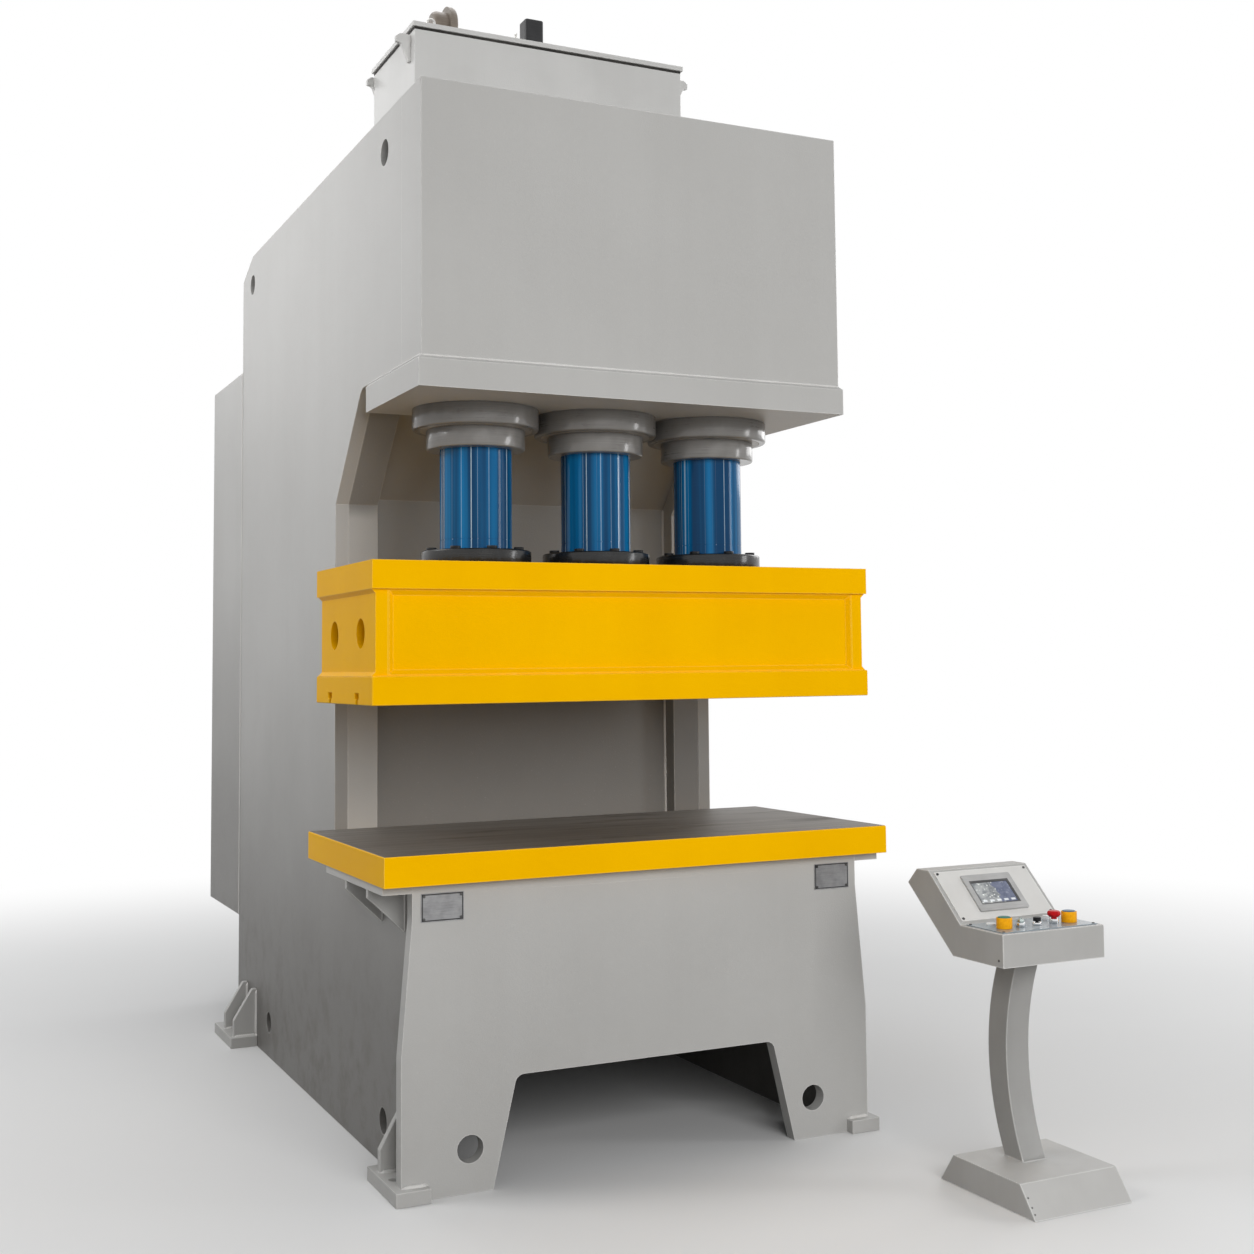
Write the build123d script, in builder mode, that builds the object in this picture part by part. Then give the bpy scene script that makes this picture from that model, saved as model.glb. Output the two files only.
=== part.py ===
from build123d import *
import os
from math import cos, hypot, radians, sin

os.makedirs("parts", exist_ok=True)

# Millimetres. X runs to the right as seen from the front, Y to the back, Z up.
# The origin lies on the floor, in the middle of the four anchor holes.
# Depths are counted from the frame's front face, spreads and insets from the side plates' outer faces.

# Clearances
fit_gap = 0.3
running_gap = 0.08

# Sides of a hexagon head or socket
hex_sides = 6

# Frame
frame_depth = 2780.0
side_plate_thickness = 50.0
side_plate_gap = 63.0
frame_plate_thickness = 40.0
rear_chamfer_depth = 210.0
rear_chamfer_height = 82.0

# Throat
throat_depth = 1060.0
throat_slope_height = 389.0
throat_top_depth = 704.0
throat_top_radius = 70.0
throat_strip_width = 166.0
throat_strip_thickness = 80.0
throat_liner_thickness = 30.0

# Head
head_casing_depth = 213.0
head_flange_thickness = 104.0
head_flange_margin = 101.0
head_flange_lip = 12.0
head_roof_gap = 35.0

# Lifting and handling holes through the plates, set in from the front and from the rear
upper_hole_radius = 47.0
upper_hole_drop = 137.0
upper_hole_front_inset = 416.0
upper_hole_rear_inset = 208.0
lower_hole_radius = 44.0
lower_hole_height = 145.0
lower_hole_front_inset = 420.0
lower_hole_rear_inset = 635.0

# Base front plate
base_plate_thickness = 50.0
base_top_height = 981.0
base_foot_spread = 66.0
base_top_spread = 30.0
base_kink_height = 440.0
base_shoulder_drop = 111.0
arch_foot_inset = 240.0
arch_slant = 82.0
arch_height = 350.0
arch_corner_radius = 32.0
base_hole_radius = 44.0
base_hole_inset = 162.0
base_hole_height = 137.0

# Work table
table_spread = 137.0
table_front_overhang = 50.0
table_back_gap = 150.0
table_thickness = 98.0
table_edge_chamfer = 3.0

# Brackets under the table's overhanging ends, gussets at shares of their length
bracket_reach = 127.0
bracket_length = 690.0
bracket_thickness = 28.0
bracket_drop = 146.0
bracket_toe = 27.0
bracket_gusset_inset = 2.0
bracket_gusset_thickness = 18.0
bracket_gusset_shares = (0.265, 0.636)

# Feet, gussets at shares of their length; the front pads reach in before the base plate
foot_width = 115.0
foot_thickness = 45.0
foot_gusset_height = 203.0
foot_gusset_toe = 72.0
foot_gusset_inset = 15.0
foot_gusset_thickness = 25.0
front_foot_lap = 22.0
front_foot_overhang = 37.0
front_foot_length = 324.0
front_gusset_shares = (0.744,)
front_gusset_crown = 4.0
front_anchor_inset = 147.0
rear_foot_lap = 0.0
rear_foot_inset = 40.0
rear_foot_length = 370.0
rear_gusset_shares = (0.084, 0.6)
rear_gusset_crown = 20.0
rear_anchor_inset = 164.0
anchor_hole_radius = 18.0
anchor_hole_spread = 55.0

# Rear housing
housing_depth = 700.0
housing_bottom = 523.0
housing_top_drop = 520.0
housing_sheet = 6.0
housing_window_margin = 70.0
cover_overlap = 30.0
cover_screw_radius = 5.0
cover_screw_head_radius = 9.0
cover_screw_head_height = 7.0
cover_screw_reach = 20.0
cover_screw_columns = 3
cover_screw_rows = 5

# Oil tank on the head
tank_inset = 231.0
tank_front_depth = 800.0
tank_depth = 550.0
tank_height = 492.0
tank_wall = 8.0
tank_rim_width = 50.0
tank_rim_thickness = 10.0
gasket_thickness = 10.0
lid_thickness = 18.0
lid_overhang = 8.0
lid_bolt_radius = 6.0
lid_bolt_head_radius = 10.0
lid_bolt_head_height = 8.0
lid_bolt_columns = 5
lid_bolt_rows = 3

# Hook plates that lift the tank, outlined in shares of their reach and height
hook_thickness = 20.0
hook_reach = 59.0
hook_height = 108.0
hook_top_drop = 6.0
hook_front_inset = 50.0
hook_rear_lap = 30.0
hook_crown = (0.72, 0.0)
hook_nose = (1.0, 0.12)
hook_chin = (0.98, 0.31)
hook_hollow = (0.66, 0.34)
hook_root = (0.16, 1.0)
hook_hollow_radius = 14.0

# Filter and level switch on the lid, set in from the tank's left end and its front
filter_inset = 150.0
filter_set_back = 270.0
filter_neck_length = 60.0
filter_neck_radius = 62.0
filter_cap_length = 34.0
filter_cap_step = 24.0
filter_lift = 19.0
filter_foot_width = 110.0
filter_foot_length = 46.0
filter_corner_radius = 20.0
switch_offset = 3.0
switch_set_back = 235.0
switch_head_width = 80.0
switch_head_depth = 76.0
switch_head_height = 96.0
switch_head_radius = 12.0
switch_top_radius = 6.0
switch_stem_radius = 27.0
switch_stem_height = 72.0
switch_flange_step = 21.0
switch_flange_thickness = 12.0

# Eye bolts on the lid
eye_insets = (81.0, 432.0)
eye_turns = (0.0, 65.0)
eye_set_back = 50.0
eye_ring_radius = 15.0
eye_bar_radius = 4.5
eye_collar_radius = 11.0
eye_collar_height = 10.0
eye_shank_radius = 6.0

# Feed pipes from the tank to the cylinders
pipe_bore_radius = 32.0
pipe_wall = 6.0
pipe_set_back = 200.0
pipe_bend_radius = 110.0
pipe_drop = 77.0
pipe_stub = 30.0

# Cylinders: each radius steps out from the rod's
cylinder_count = 3
cylinder_depth = 415.0
rod_radius = 128.0
piston_step = 32.0
barrel_wall = 40.0
barrel_cap_thickness = 48.0
barrel_collar_step = 22.0
barrel_collar_height = 40.0
ring_step = 25.0
ring_space = 15.0
ring_height = 76.0
ring_chamfer = 5.0
gland_step = 15.0
gland_height = 71.0
gland_spigot_height = 60.0
gland_chamfer = 4.0
seal_height = 14.0
seal_depth = 9.0
seal_rise = 24.0

# Rods and pistons
rod_collar_step = 22.0
rod_collar_height = 24.0
rod_spigot_step = 33.0
piston_height = 90.0
piston_bottom_gap = 34.0
piston_top_gap = 2.0
rod_groove_rise = 94.0
rod_groove_width = 3.0
rod_groove_depth = 1.5
rod_flange_step = 46.0
rod_flange_thickness = 58.0
rod_flange_chamfer = 4.0
rod_bolt_count = 8
rod_bolt_step = 15.0
rod_bolt_radius = 12.0
rod_bolt_head_radius = 18.0
rod_bolt_head_height = 10.0
rod_bolt_socket_radius = 9.0
rod_bolt_socket_depth = 5.0
rod_bolt_reach = 50.0

# Slide and its travel from rest, with the space left at each end
slide_travel_down = 460.0
slide_travel_up = 340.0
slide_bottom_gap = 9.0
slide_top_gap = 8.0
slide_spread = 144.0
slide_depth = 710.0
slide_plate_thickness = 94.0
slide_web_height = 283.0
slide_overhang = 15.0
slide_end_thickness = 42.0
slide_web_recess = 12.0
slide_web_thickness = 40.0
slide_weld = 20.0
slide_weld_crown = 5.0
slide_end_weld = 14.0
slide_rib_thickness = 40.0
slide_rib_count = 4
slide_hole_radius = 50.0
slide_hole_offset = 165.0
slot_offset = 170.0
slot_neck_width = 28.0
slot_neck_depth = 18.0
slot_head_step = 10.0
slot_head_depth = 20.0

# Nameplates
nameplate_width = 142.0
nameplate_height = 90.0
nameplate_thickness = 3.0
nameplate_inset = 70.0
nameplate_drop = 75.0

# Small panel screws
screw_head_radius = 4.5
screw_head_height = 2.5
screw_shank_radius = 2.5
screw_shank_length = 9.0
screw_inset = 9.0

# Control pedestal, set out from the front of its base
pedestal_offset = 947.0
pedestal_base_front = -1061.0
pedestal_base_width = 376.0
pedestal_base_depth = 474.0
pedestal_base_height = 92.0
pedestal_base_slope = 70.0
column_width = 90.0
column_depth = 94.0
column_set_back = 231.0
column_bow = 71.0
column_wall = 5.0
console_width = 400.0
console_set_back = 106.0
console_bottom_height = 727.0
console_desk_rise = 103.0
console_desk_depth = 215.0
console_slope_depth = 167.0
console_slope_height = 154.0
console_top_depth = 66.0
console_back_depth = 52.0
console_back_drop = 50.0
console_floor_depth = 258.0
console_sheet = 3.0
console_window_margin = 24.0

# Panels on the console
panel_thickness = 3.0
panel_margin = 14.0
screen_plate_margin = 12.0
glass_width = 158.0
glass_length = 98.0
glass_thickness = 3.0
bezel_side_margin = 19.0
bezel_end_margin = 25.0
bezel_thickness = 7.0
bezel_radius = 5.0

# Controls, placed from the middle of the desk and from its front edge
control_row_inset = 82.0
lamp_row_inset = 160.0
run_button_offset = 129.0
run_cap_radius = 20.5
run_cap_gap = 1.0
run_cap_thickness = 12.0
run_cap_proud = 2.0
run_cap_rounding = 2.0
run_guard_wall = 3.5
run_guard_height = 34.0
stem_radius = 5.0
stem_length = 16.0
control_bore_radius = 9.5
control_bezel_chamfer = 1.5
selector_offset = -66.0
selector_bezel_radius = 15.0
selector_bezel_height = 14.0
selector_knob_radius = 11.5
selector_knob_height = 9.0
selector_grip_length = 30.0
selector_grip_width = 8.0
selector_grip_height = 14.0
selector_grip_turn = 45.0
black_button_offset = 0.0
black_bezel_radius = 15.0
black_bezel_height = 9.0
black_cap_radius = 12.5
black_cap_height = 12.0
black_cap_rounding = 2.0
black_stroke = 4.0
stop_gap = 15.0
stop_collar_radius = 15.0
stop_collar_height = 16.0
stop_neck_gap = 0.5
stop_head_radius = 21.0
stop_head_height = 19.0
stop_crown_rounding = 8.0
stop_skirt_chamfer = 6.0
stop_stroke = 5.0
lamp_offsets = (-120.0, 98.0)
lamp_radii = (17.0, 10.0)
lamp_heights = (5.0, 13.0)
lamp_rounding = 2.0

# Radii of the cylinders, from the rod outwards
rod_collar_radius = rod_radius + rod_collar_step
rod_spigot_radius = rod_radius - rod_spigot_step
rod_bolt_circle_radius = rod_collar_radius + rod_bolt_step
rod_flange_radius = rod_collar_radius + rod_flange_step
barrel_bore_radius = rod_radius + piston_step
barrel_radius = barrel_bore_radius + barrel_wall
barrel_collar_radius = barrel_radius + barrel_collar_step
ring_radius = barrel_radius + ring_step
gland_radius = barrel_bore_radius + gland_step
pipe_radius = pipe_bore_radius + pipe_wall
cylinder_spacing = 2 * ring_radius + ring_space

# Widths: the row of cylinders sets the frame's width
outer_cylinder_x = cylinder_spacing * (cylinder_count - 1) / 2
inner_half = outer_cylinder_x + barrel_collar_radius + side_plate_gap
half_frame = inner_half + side_plate_thickness
frame_width = 2 * half_frame
base_foot_half_width = half_frame + base_foot_spread
base_top_half_width = half_frame + base_top_spread
arch_foot_half_width = half_frame - arch_foot_inset
arch_top_half_width = arch_foot_half_width - arch_slant
base_hole_x = half_frame - base_hole_inset
nameplate_x = half_frame - nameplate_inset
table_half_width = half_frame + table_spread
anchor_hole_x = half_frame + anchor_hole_spread
slide_half_width = half_frame + slide_spread
end_face_half = slide_half_width - slide_overhang
tank_half_width = half_frame - tank_inset
slot_head_width = slot_neck_width + 2 * slot_head_step

# Heights, from the floor up: base, table, slide, glands, head, barrels, roof, tank
base_shoulder_height = base_top_height - base_shoulder_drop
nameplate_middle_height = base_top_height - nameplate_drop
table_top_height = base_top_height + table_thickness
slide_bottom_height = table_top_height + slide_bottom_gap + slide_travel_down
slide_web_bottom = slide_bottom_height + slide_plate_thickness
slide_web_top = slide_web_bottom + slide_web_height
slide_top_height = slide_web_top + slide_plate_thickness
rod_flange_top = slide_top_height + rod_flange_thickness
gland_bottom = rod_flange_top + rod_bolt_head_height + slide_travel_up + slide_top_gap
ring_bottom = gland_bottom + gland_height
head_flange_bottom = ring_bottom + ring_height
head_bottom_height = head_flange_bottom + head_flange_thickness
throat_knee_height = head_bottom_height - throat_slope_height
piston_rest_height = ring_bottom + gland_spigot_height + piston_bottom_gap + slide_travel_down
barrel_inner_top = piston_rest_height + piston_height + slide_travel_up + piston_top_gap
barrel_top_height = barrel_inner_top + barrel_cap_thickness
pipe_height = barrel_inner_top - pipe_drop
frame_height = barrel_top_height + head_roof_gap + frame_plate_thickness
upper_hole_height = frame_height - upper_hole_drop
housing_top = frame_height - housing_top_drop
tank_top_height = frame_height + tank_height
lid_bottom_height = tank_top_height + gasket_thickness
lid_top_height = lid_bottom_height + lid_thickness
console_desk_height = console_bottom_height + console_desk_rise
desk_top = console_desk_height + panel_thickness

# Depths, from the frame's front face back
front_anchor_depth = front_anchor_inset - front_foot_overhang
rear_foot_start = frame_depth - rear_foot_inset - rear_foot_length
rear_anchor_depth = rear_foot_start + rear_anchor_inset
front_y = -(front_anchor_depth + rear_anchor_depth) / 2
head_flange_depth = throat_top_depth - head_flange_margin
upper_hole_depths = (upper_hole_front_inset, frame_depth - upper_hole_rear_inset)
lower_hole_depths = (lower_hole_front_inset, frame_depth - lower_hole_rear_inset)
table_depth = throat_depth - table_back_gap + table_front_overhang
slide_front_depth = cylinder_depth - slide_depth / 2
housing_rear_depth = frame_depth + housing_depth
hook_front_depth = tank_front_depth + hook_front_inset
hook_rear_depth = tank_front_depth + tank_depth
filter_depth = tank_front_depth + filter_set_back
switch_depth = tank_front_depth + switch_set_back
eye_depth = tank_front_depth + eye_set_back
pipe_depth = tank_front_depth + pipe_set_back
pedestal_base_back = pedestal_base_front + pedestal_base_depth
column_front_depth = pedestal_base_front + column_set_back
console_front = pedestal_base_front + console_set_back
control_row_depth = console_front + control_row_inset
lamp_row_depth = console_front + lamp_row_inset


def y_at(depth):
    """The Y of a place that lies so far behind the frame's front face."""
    return front_y + depth


def across(depth):
    """A plane across the press, facing the front; extruding by a negative amount goes back."""
    return Plane.XZ.offset(-y_at(depth))


def side_points(outline):
    """Depth and height pairs as points on the YZ plane."""
    return [(y_at(depth), height) for depth, height in outline]


def spread(count, span):
    """Offsets about zero, evenly spread over a span."""
    return [span * i / (count - 1) - span / 2 for i in range(count)]


def cylinder_places(height):
    """The places of the cylinder axes at one height."""
    return [(x, y_at(cylinder_depth), height) for x in spread(cylinder_count, 2 * outer_cylinder_x)]


def throat_offset(distance):
    """Where the throat's sloping line lands when it is moved into the frame by a distance."""
    slope_depth = throat_depth - throat_top_depth
    slope_height = head_bottom_height - throat_knee_height
    slope_length = hypot(slope_depth, slope_height)
    top_depth = throat_top_depth + distance * slope_length / slope_height
    knee_height = head_bottom_height - (throat_depth + distance - top_depth) * slope_height / slope_depth
    return top_depth, knee_height


# Side plates: a C outline with the throat open to the front
side_outline = [
    (base_plate_thickness, 0),
    (base_plate_thickness, base_top_height),
    (throat_depth, base_top_height),
    (throat_depth, throat_knee_height),
    (throat_top_depth, head_bottom_height),
    (head_casing_depth, head_bottom_height),
    (head_casing_depth, frame_height),
    (frame_depth - rear_chamfer_depth, frame_height),
    (frame_depth, frame_height - rear_chamfer_height),
    (frame_depth, 0),
]

for side, plate_start in (("left", -half_frame), ("right", inner_half)):
    with BuildPart() as side_plate:
        with BuildSketch(Plane.YZ.offset(plate_start)) as plate_face:
            with BuildLine():
                Polyline(*side_points(side_outline), close=True)
            make_face()
            throat_corner = Vector(y_at(throat_top_depth), head_bottom_height, 0)
            fillet(plate_face.vertices().sort_by_distance(throat_corner)[0], radius=throat_top_radius)
            with Locations(*[(y_at(depth), upper_hole_height) for depth in upper_hole_depths]):
                Circle(upper_hole_radius, mode=Mode.SUBTRACT)
            with Locations(*[(y_at(depth), lower_hole_height) for depth in lower_hole_depths]):
                Circle(lower_hole_radius, mode=Mode.SUBTRACT)
        extrude(amount=side_plate_thickness)
    side_plate.part.label = f"side_plate_{side}"
    export_step(side_plate.part, f"parts/side_plate_{side}.step")

# Head front casing: a front plate with a cheek at each end, which makes the joint line on the sides
with BuildPart() as head_front_casing:
    with BuildSketch(Plane.XY.offset(head_bottom_height)):
        with Locations((0, y_at(head_casing_depth / 2))):
            Rectangle(frame_width, head_casing_depth)
        with Locations((0, y_at(frame_plate_thickness + head_casing_depth / 2))):
            Rectangle(2 * inner_half, head_casing_depth, mode=Mode.SUBTRACT)
    extrude(amount=frame_height - head_bottom_height)
head_front_casing.part.label = "head_front_casing"
export_step(head_front_casing.part, "parts/head_front_casing.step")

# Head flange plate: the thick plate that carries the cylinders, bevelled up to the head's faces
flange_width = frame_width + 2 * head_flange_lip
flange_depth = head_flange_depth + head_flange_lip
with BuildPart() as head_flange_plate:
    with BuildSketch(Plane.XY.offset(head_flange_bottom)):
        with Locations((0, y_at(flange_depth / 2 - head_flange_lip))):
            Rectangle(flange_width, flange_depth)
    extrude(amount=head_flange_thickness)
    top_edges = head_flange_plate.faces().sort_by(Axis.Z)[-1].edges()
    chamfer(top_edges.sort_by(Axis.Y)[:-1], length=head_flange_lip)
    with Locations(*cylinder_places(head_bottom_height)):
        Hole(barrel_radius + fit_gap)
head_flange_plate.part.label = "head_flange_plate"
export_step(head_flange_plate.part, "parts/head_flange_plate.step")

# Head top plate: the roof, bent down along the rear chamfer
roof_outline = [
    (frame_plate_thickness, frame_height),
    (frame_depth - rear_chamfer_depth, frame_height),
    (frame_depth, frame_height - rear_chamfer_height),
    (frame_depth, frame_height - rear_chamfer_height - frame_plate_thickness),
    (frame_depth - rear_chamfer_depth, frame_height - frame_plate_thickness),
    (frame_plate_thickness, frame_height - frame_plate_thickness),
]
pipe_places = [(x, y_at(pipe_depth)) for x, _, _ in cylinder_places(0)]
with BuildPart() as head_top_plate:
    with BuildSketch(Plane.YZ.offset(-inner_half)):
        with BuildLine():
            Polyline(*side_points(roof_outline), close=True)
        make_face()
    extrude(amount=2 * inner_half)
    with Locations(*[(x, y, frame_height) for x, y in pipe_places]):
        Hole(pipe_radius + fit_gap, depth=frame_plate_thickness)
head_top_plate.part.label = "head_top_plate"
export_step(head_top_plate.part, "parts/head_top_plate.step")

# Throat back plate: one bent plate behind the strips, from the bed up under the head
liner_top_depth, liner_knee_height = throat_offset(throat_strip_thickness)
outer_top_depth, outer_knee_height = throat_offset(throat_strip_thickness + throat_liner_thickness)
liner_front = throat_depth + throat_strip_thickness
liner_back = liner_front + throat_liner_thickness
liner_slope = (head_bottom_height - liner_knee_height) / (liner_front - liner_top_depth)
roof_shift = throat_liner_thickness / liner_slope
liner_outline = [
    (head_flange_depth, head_bottom_height),
    (liner_top_depth, head_bottom_height),
    (liner_front, liner_knee_height),
    (liner_front, base_top_height),
    (liner_back, base_top_height),
    (liner_back, outer_knee_height),
    (outer_top_depth - roof_shift, head_bottom_height + throat_liner_thickness),
    (head_flange_depth, head_bottom_height + throat_liner_thickness),
]
with BuildPart() as throat_back_plate:
    with BuildSketch(Plane.YZ.offset(-inner_half)):
        with BuildLine():
            Polyline(*side_points(liner_outline), close=True)
        make_face()
    extrude(amount=2 * inner_half)
    with BuildSketch(Plane.XY.offset(head_bottom_height)):
        with Locations(*[(x, y) for x, y, _ in cylinder_places(0)]):
            Circle(barrel_collar_radius + fit_gap)
    extrude(amount=throat_liner_thickness, mode=Mode.SUBTRACT)
throat_back_plate.part.label = "throat_back_plate"
export_step(throat_back_plate.part, "parts/throat_back_plate.step")

# Throat strips: thick bars along both edges of the throat, flush with the side plates' edges
strip_outline = [
    (throat_top_depth, head_bottom_height),
    (throat_depth, throat_knee_height),
    (throat_depth, base_top_height),
    (liner_front, base_top_height),
    (liner_front, liner_knee_height),
    (liner_top_depth, head_bottom_height),
]
strip_inner_half = half_frame - throat_strip_width
for side, strip_start in (("left", -inner_half), ("right", strip_inner_half)):
    with BuildPart() as throat_strip:
        with BuildSketch(Plane.YZ.offset(strip_start)):
            with BuildLine():
                Polyline(*side_points(strip_outline), close=True)
            make_face()
        extrude(amount=inner_half - strip_inner_half)
    throat_strip.part.label = f"throat_strip_{side}"
    export_step(throat_strip.part, f"parts/throat_strip_{side}.step")

# Back plate between the side plates
back_plate_height = frame_height - rear_chamfer_height - frame_plate_thickness
with BuildPart() as back_plate:
    with BuildSketch(across(frame_depth)):
        with Locations((0, back_plate_height / 2)):
            Rectangle(2 * inner_half, back_plate_height)
    extrude(amount=frame_plate_thickness)
back_plate.part.label = "back_plate"
export_step(back_plate.part, "parts/back_plate.step")

# Screws of the two nameplates, in the corners of each plate
nameplate_screw_x = nameplate_width / 2 - screw_inset
nameplate_screw_z = nameplate_height / 2 - screw_inset
nameplate_screw_places = [
    (plate_x + x, nameplate_middle_height + z)
    for plate_x in (-nameplate_x, nameplate_x)
    for x in (-nameplate_screw_x, nameplate_screw_x)
    for z in (-nameplate_screw_z, nameplate_screw_z)
]

# Base front plate: it widens towards the floor and stands on two legs beside an arch
right_edge = [
    (arch_foot_half_width, 0),
    (half_frame, 0),
    (half_frame, foot_thickness),
    (base_foot_half_width, foot_thickness),
    (base_foot_half_width, base_kink_height),
    (base_top_half_width, base_shoulder_height),
    (base_top_half_width, base_top_height),
]
left_edge = [(-x, z) for x, z in reversed(right_edge)]
arch_top = [(-arch_top_half_width, arch_height), (arch_top_half_width, arch_height)]
with BuildPart() as base_front_plate:
    with BuildSketch(across(0)) as base_face:
        with BuildLine():
            Polyline(*right_edge, *left_edge, *arch_top, close=True)
        make_face()
        for x, z in arch_top:
            fillet(base_face.vertices().sort_by_distance(Vector(x, z, 0))[0], radius=arch_corner_radius)
        with Locations((-base_hole_x, base_hole_height), (base_hole_x, base_hole_height)):
            Circle(base_hole_radius, mode=Mode.SUBTRACT)
    extrude(amount=-base_plate_thickness)
    with BuildSketch(across(0)):
        with Locations(*nameplate_screw_places):
            Circle(screw_shank_radius + fit_gap)
    extrude(amount=-screw_shank_length, mode=Mode.SUBTRACT)
base_front_plate.part.label = "base_front_plate"
export_step(base_front_plate.part, "parts/base_front_plate.step")

# Bed plate under the table, reaching back under the throat plates
with BuildPart() as bed_plate:
    with BuildSketch(Plane.XY.offset(base_top_height)):
        with Locations((0, y_at((base_plate_thickness + liner_back) / 2))):
            Rectangle(2 * inner_half, liner_back - base_plate_thickness)
    extrude(amount=-frame_plate_thickness)
bed_plate.part.label = "bed_plate"
export_step(bed_plate.part, "parts/bed_plate.step")

# Work table
with BuildPart() as table_plate:
    with BuildSketch(Plane.XY.offset(base_top_height)):
        with Locations((0, y_at(table_depth / 2 - table_front_overhang))):
            Rectangle(2 * table_half_width, table_depth)
    extrude(amount=table_thickness)
    chamfer(table_plate.faces().sort_by(Axis.Z)[-1].edges(), length=table_edge_chamfer)
table_plate.part.label = "table_plate"
export_step(table_plate.part, "parts/table_plate.step")

# Table brackets: a ledge with gussets below it, welded to each side plate
gusset_top = base_top_height - bracket_thickness
gusset_reach = bracket_reach - bracket_gusset_inset
for side, sign in (("left", -1), ("right", 1)):
    gusset_outline = [
        (sign * half_frame, gusset_top),
        (sign * (half_frame + gusset_reach), gusset_top),
        (sign * (half_frame + gusset_reach), gusset_top - bracket_toe),
        (sign * half_frame, gusset_top - bracket_drop),
    ]
    with BuildPart() as table_bracket:
        with BuildSketch(Plane.XY.offset(gusset_top)):
            with Locations((sign * (half_frame + bracket_reach / 2), y_at(bracket_length / 2))):
                Rectangle(bracket_reach, bracket_length)
            with Locations((0, y_at(base_plate_thickness / 2))):
                Rectangle(2 * base_top_half_width, base_plate_thickness, mode=Mode.SUBTRACT)
        extrude(amount=bracket_thickness)
        for share in bracket_gusset_shares:
            with BuildSketch(across(share * bracket_length - bracket_gusset_thickness / 2)):
                with BuildLine():
                    Polyline(*gusset_outline, close=True)
                make_face()
            extrude(amount=-bracket_gusset_thickness)
    table_bracket.part.label = f"table_bracket_{side}"
    export_step(table_bracket.part, f"parts/table_bracket_{side}.step")


def foot_pair(start, length, lap, gusset_shares, gusset_crown, anchor_depth):
    """Two feet, left and right: a pad with an anchor hole, and gussets up to the side plate."""
    pad_outer = half_frame + foot_width - lap
    gusset_outer = pad_outer - foot_gusset_inset
    with BuildPart() as feet:
        for sign in (-1, 1):
            outline = [
                (sign * half_frame, foot_thickness),
                (sign * gusset_outer, foot_thickness),
                (sign * gusset_outer, foot_thickness + foot_gusset_toe),
                (sign * (half_frame + gusset_crown), foot_thickness + foot_gusset_height),
                (sign * half_frame, foot_thickness + foot_gusset_height),
            ]
            with BuildSketch(Plane.XY):
                with Locations((sign * (pad_outer - foot_width / 2), y_at(start + length / 2))):
                    Rectangle(foot_width, length)
                with Locations((0, y_at(frame_depth / 2))):
                    Rectangle(2 * half_frame, frame_depth, mode=Mode.SUBTRACT)
                with Locations((sign * anchor_hole_x, y_at(anchor_depth))):
                    Circle(anchor_hole_radius, mode=Mode.SUBTRACT)
            extrude(amount=foot_thickness)
            for share in gusset_shares:
                with BuildSketch(across(start + share * length - foot_gusset_thickness / 2)):
                    with BuildLine():
                        Polyline(*outline, close=True)
                    make_face()
                extrude(amount=-foot_gusset_thickness)
    return feet


front_feet = foot_pair(
    -front_foot_overhang, front_foot_length, front_foot_lap,
    front_gusset_shares, front_gusset_crown, front_anchor_depth,
)
front_feet.part.label = "front_feet"
export_step(front_feet.part, "parts/front_feet.step")

rear_feet = foot_pair(
    rear_foot_start, rear_foot_length, rear_foot_lap,
    rear_gusset_shares, rear_gusset_crown, rear_anchor_depth,
)
rear_feet.part.label = "rear_feet"
export_step(rear_feet.part, "parts/rear_feet.step")

# Rear housing: a sheet box on the back of the frame, with a plain cover on screws
housing_height = housing_top - housing_bottom
housing_middle = (housing_top + housing_bottom) / 2
window_width = frame_width - 2 * housing_window_margin
window_height = housing_height - 2 * housing_window_margin
cover_width = window_width + 2 * cover_overlap
cover_height = window_height + 2 * cover_overlap
cover_screw_places = [
    (x, housing_middle + z)
    for x in spread(cover_screw_columns, window_width + cover_overlap)
    for z in spread(cover_screw_rows, window_height + cover_overlap)
    if abs(x) > window_width / 2 or abs(z) > window_height / 2
]

with BuildPart() as rear_housing:
    with BuildSketch(across(frame_depth)):
        with Locations((0, housing_middle)):
            Rectangle(frame_width, housing_height)
    extrude(amount=-housing_depth)
    with BuildSketch(across(frame_depth)):
        with Locations((0, housing_middle)):
            Rectangle(frame_width - 2 * housing_sheet, housing_height - 2 * housing_sheet)
    extrude(amount=housing_sheet - housing_depth, mode=Mode.SUBTRACT)
    with BuildSketch(across(housing_rear_depth - housing_sheet)):
        with Locations((0, housing_middle)):
            Rectangle(window_width, window_height)
        with Locations(*cover_screw_places):
            Circle(cover_screw_radius + fit_gap)
    extrude(amount=-housing_sheet, mode=Mode.SUBTRACT)
rear_housing.part.label = "rear_housing"
export_step(rear_housing.part, "parts/rear_housing.step")

with BuildPart() as rear_cover:
    with BuildSketch(across(housing_rear_depth)):
        with Locations((0, housing_middle)):
            Rectangle(cover_width, cover_height)
        with Locations(*cover_screw_places):
            Circle(cover_screw_radius + fit_gap, mode=Mode.SUBTRACT)
    extrude(amount=-housing_sheet)
rear_cover.part.label = "rear_cover"
export_step(rear_cover.part, "parts/rear_cover.step")

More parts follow.
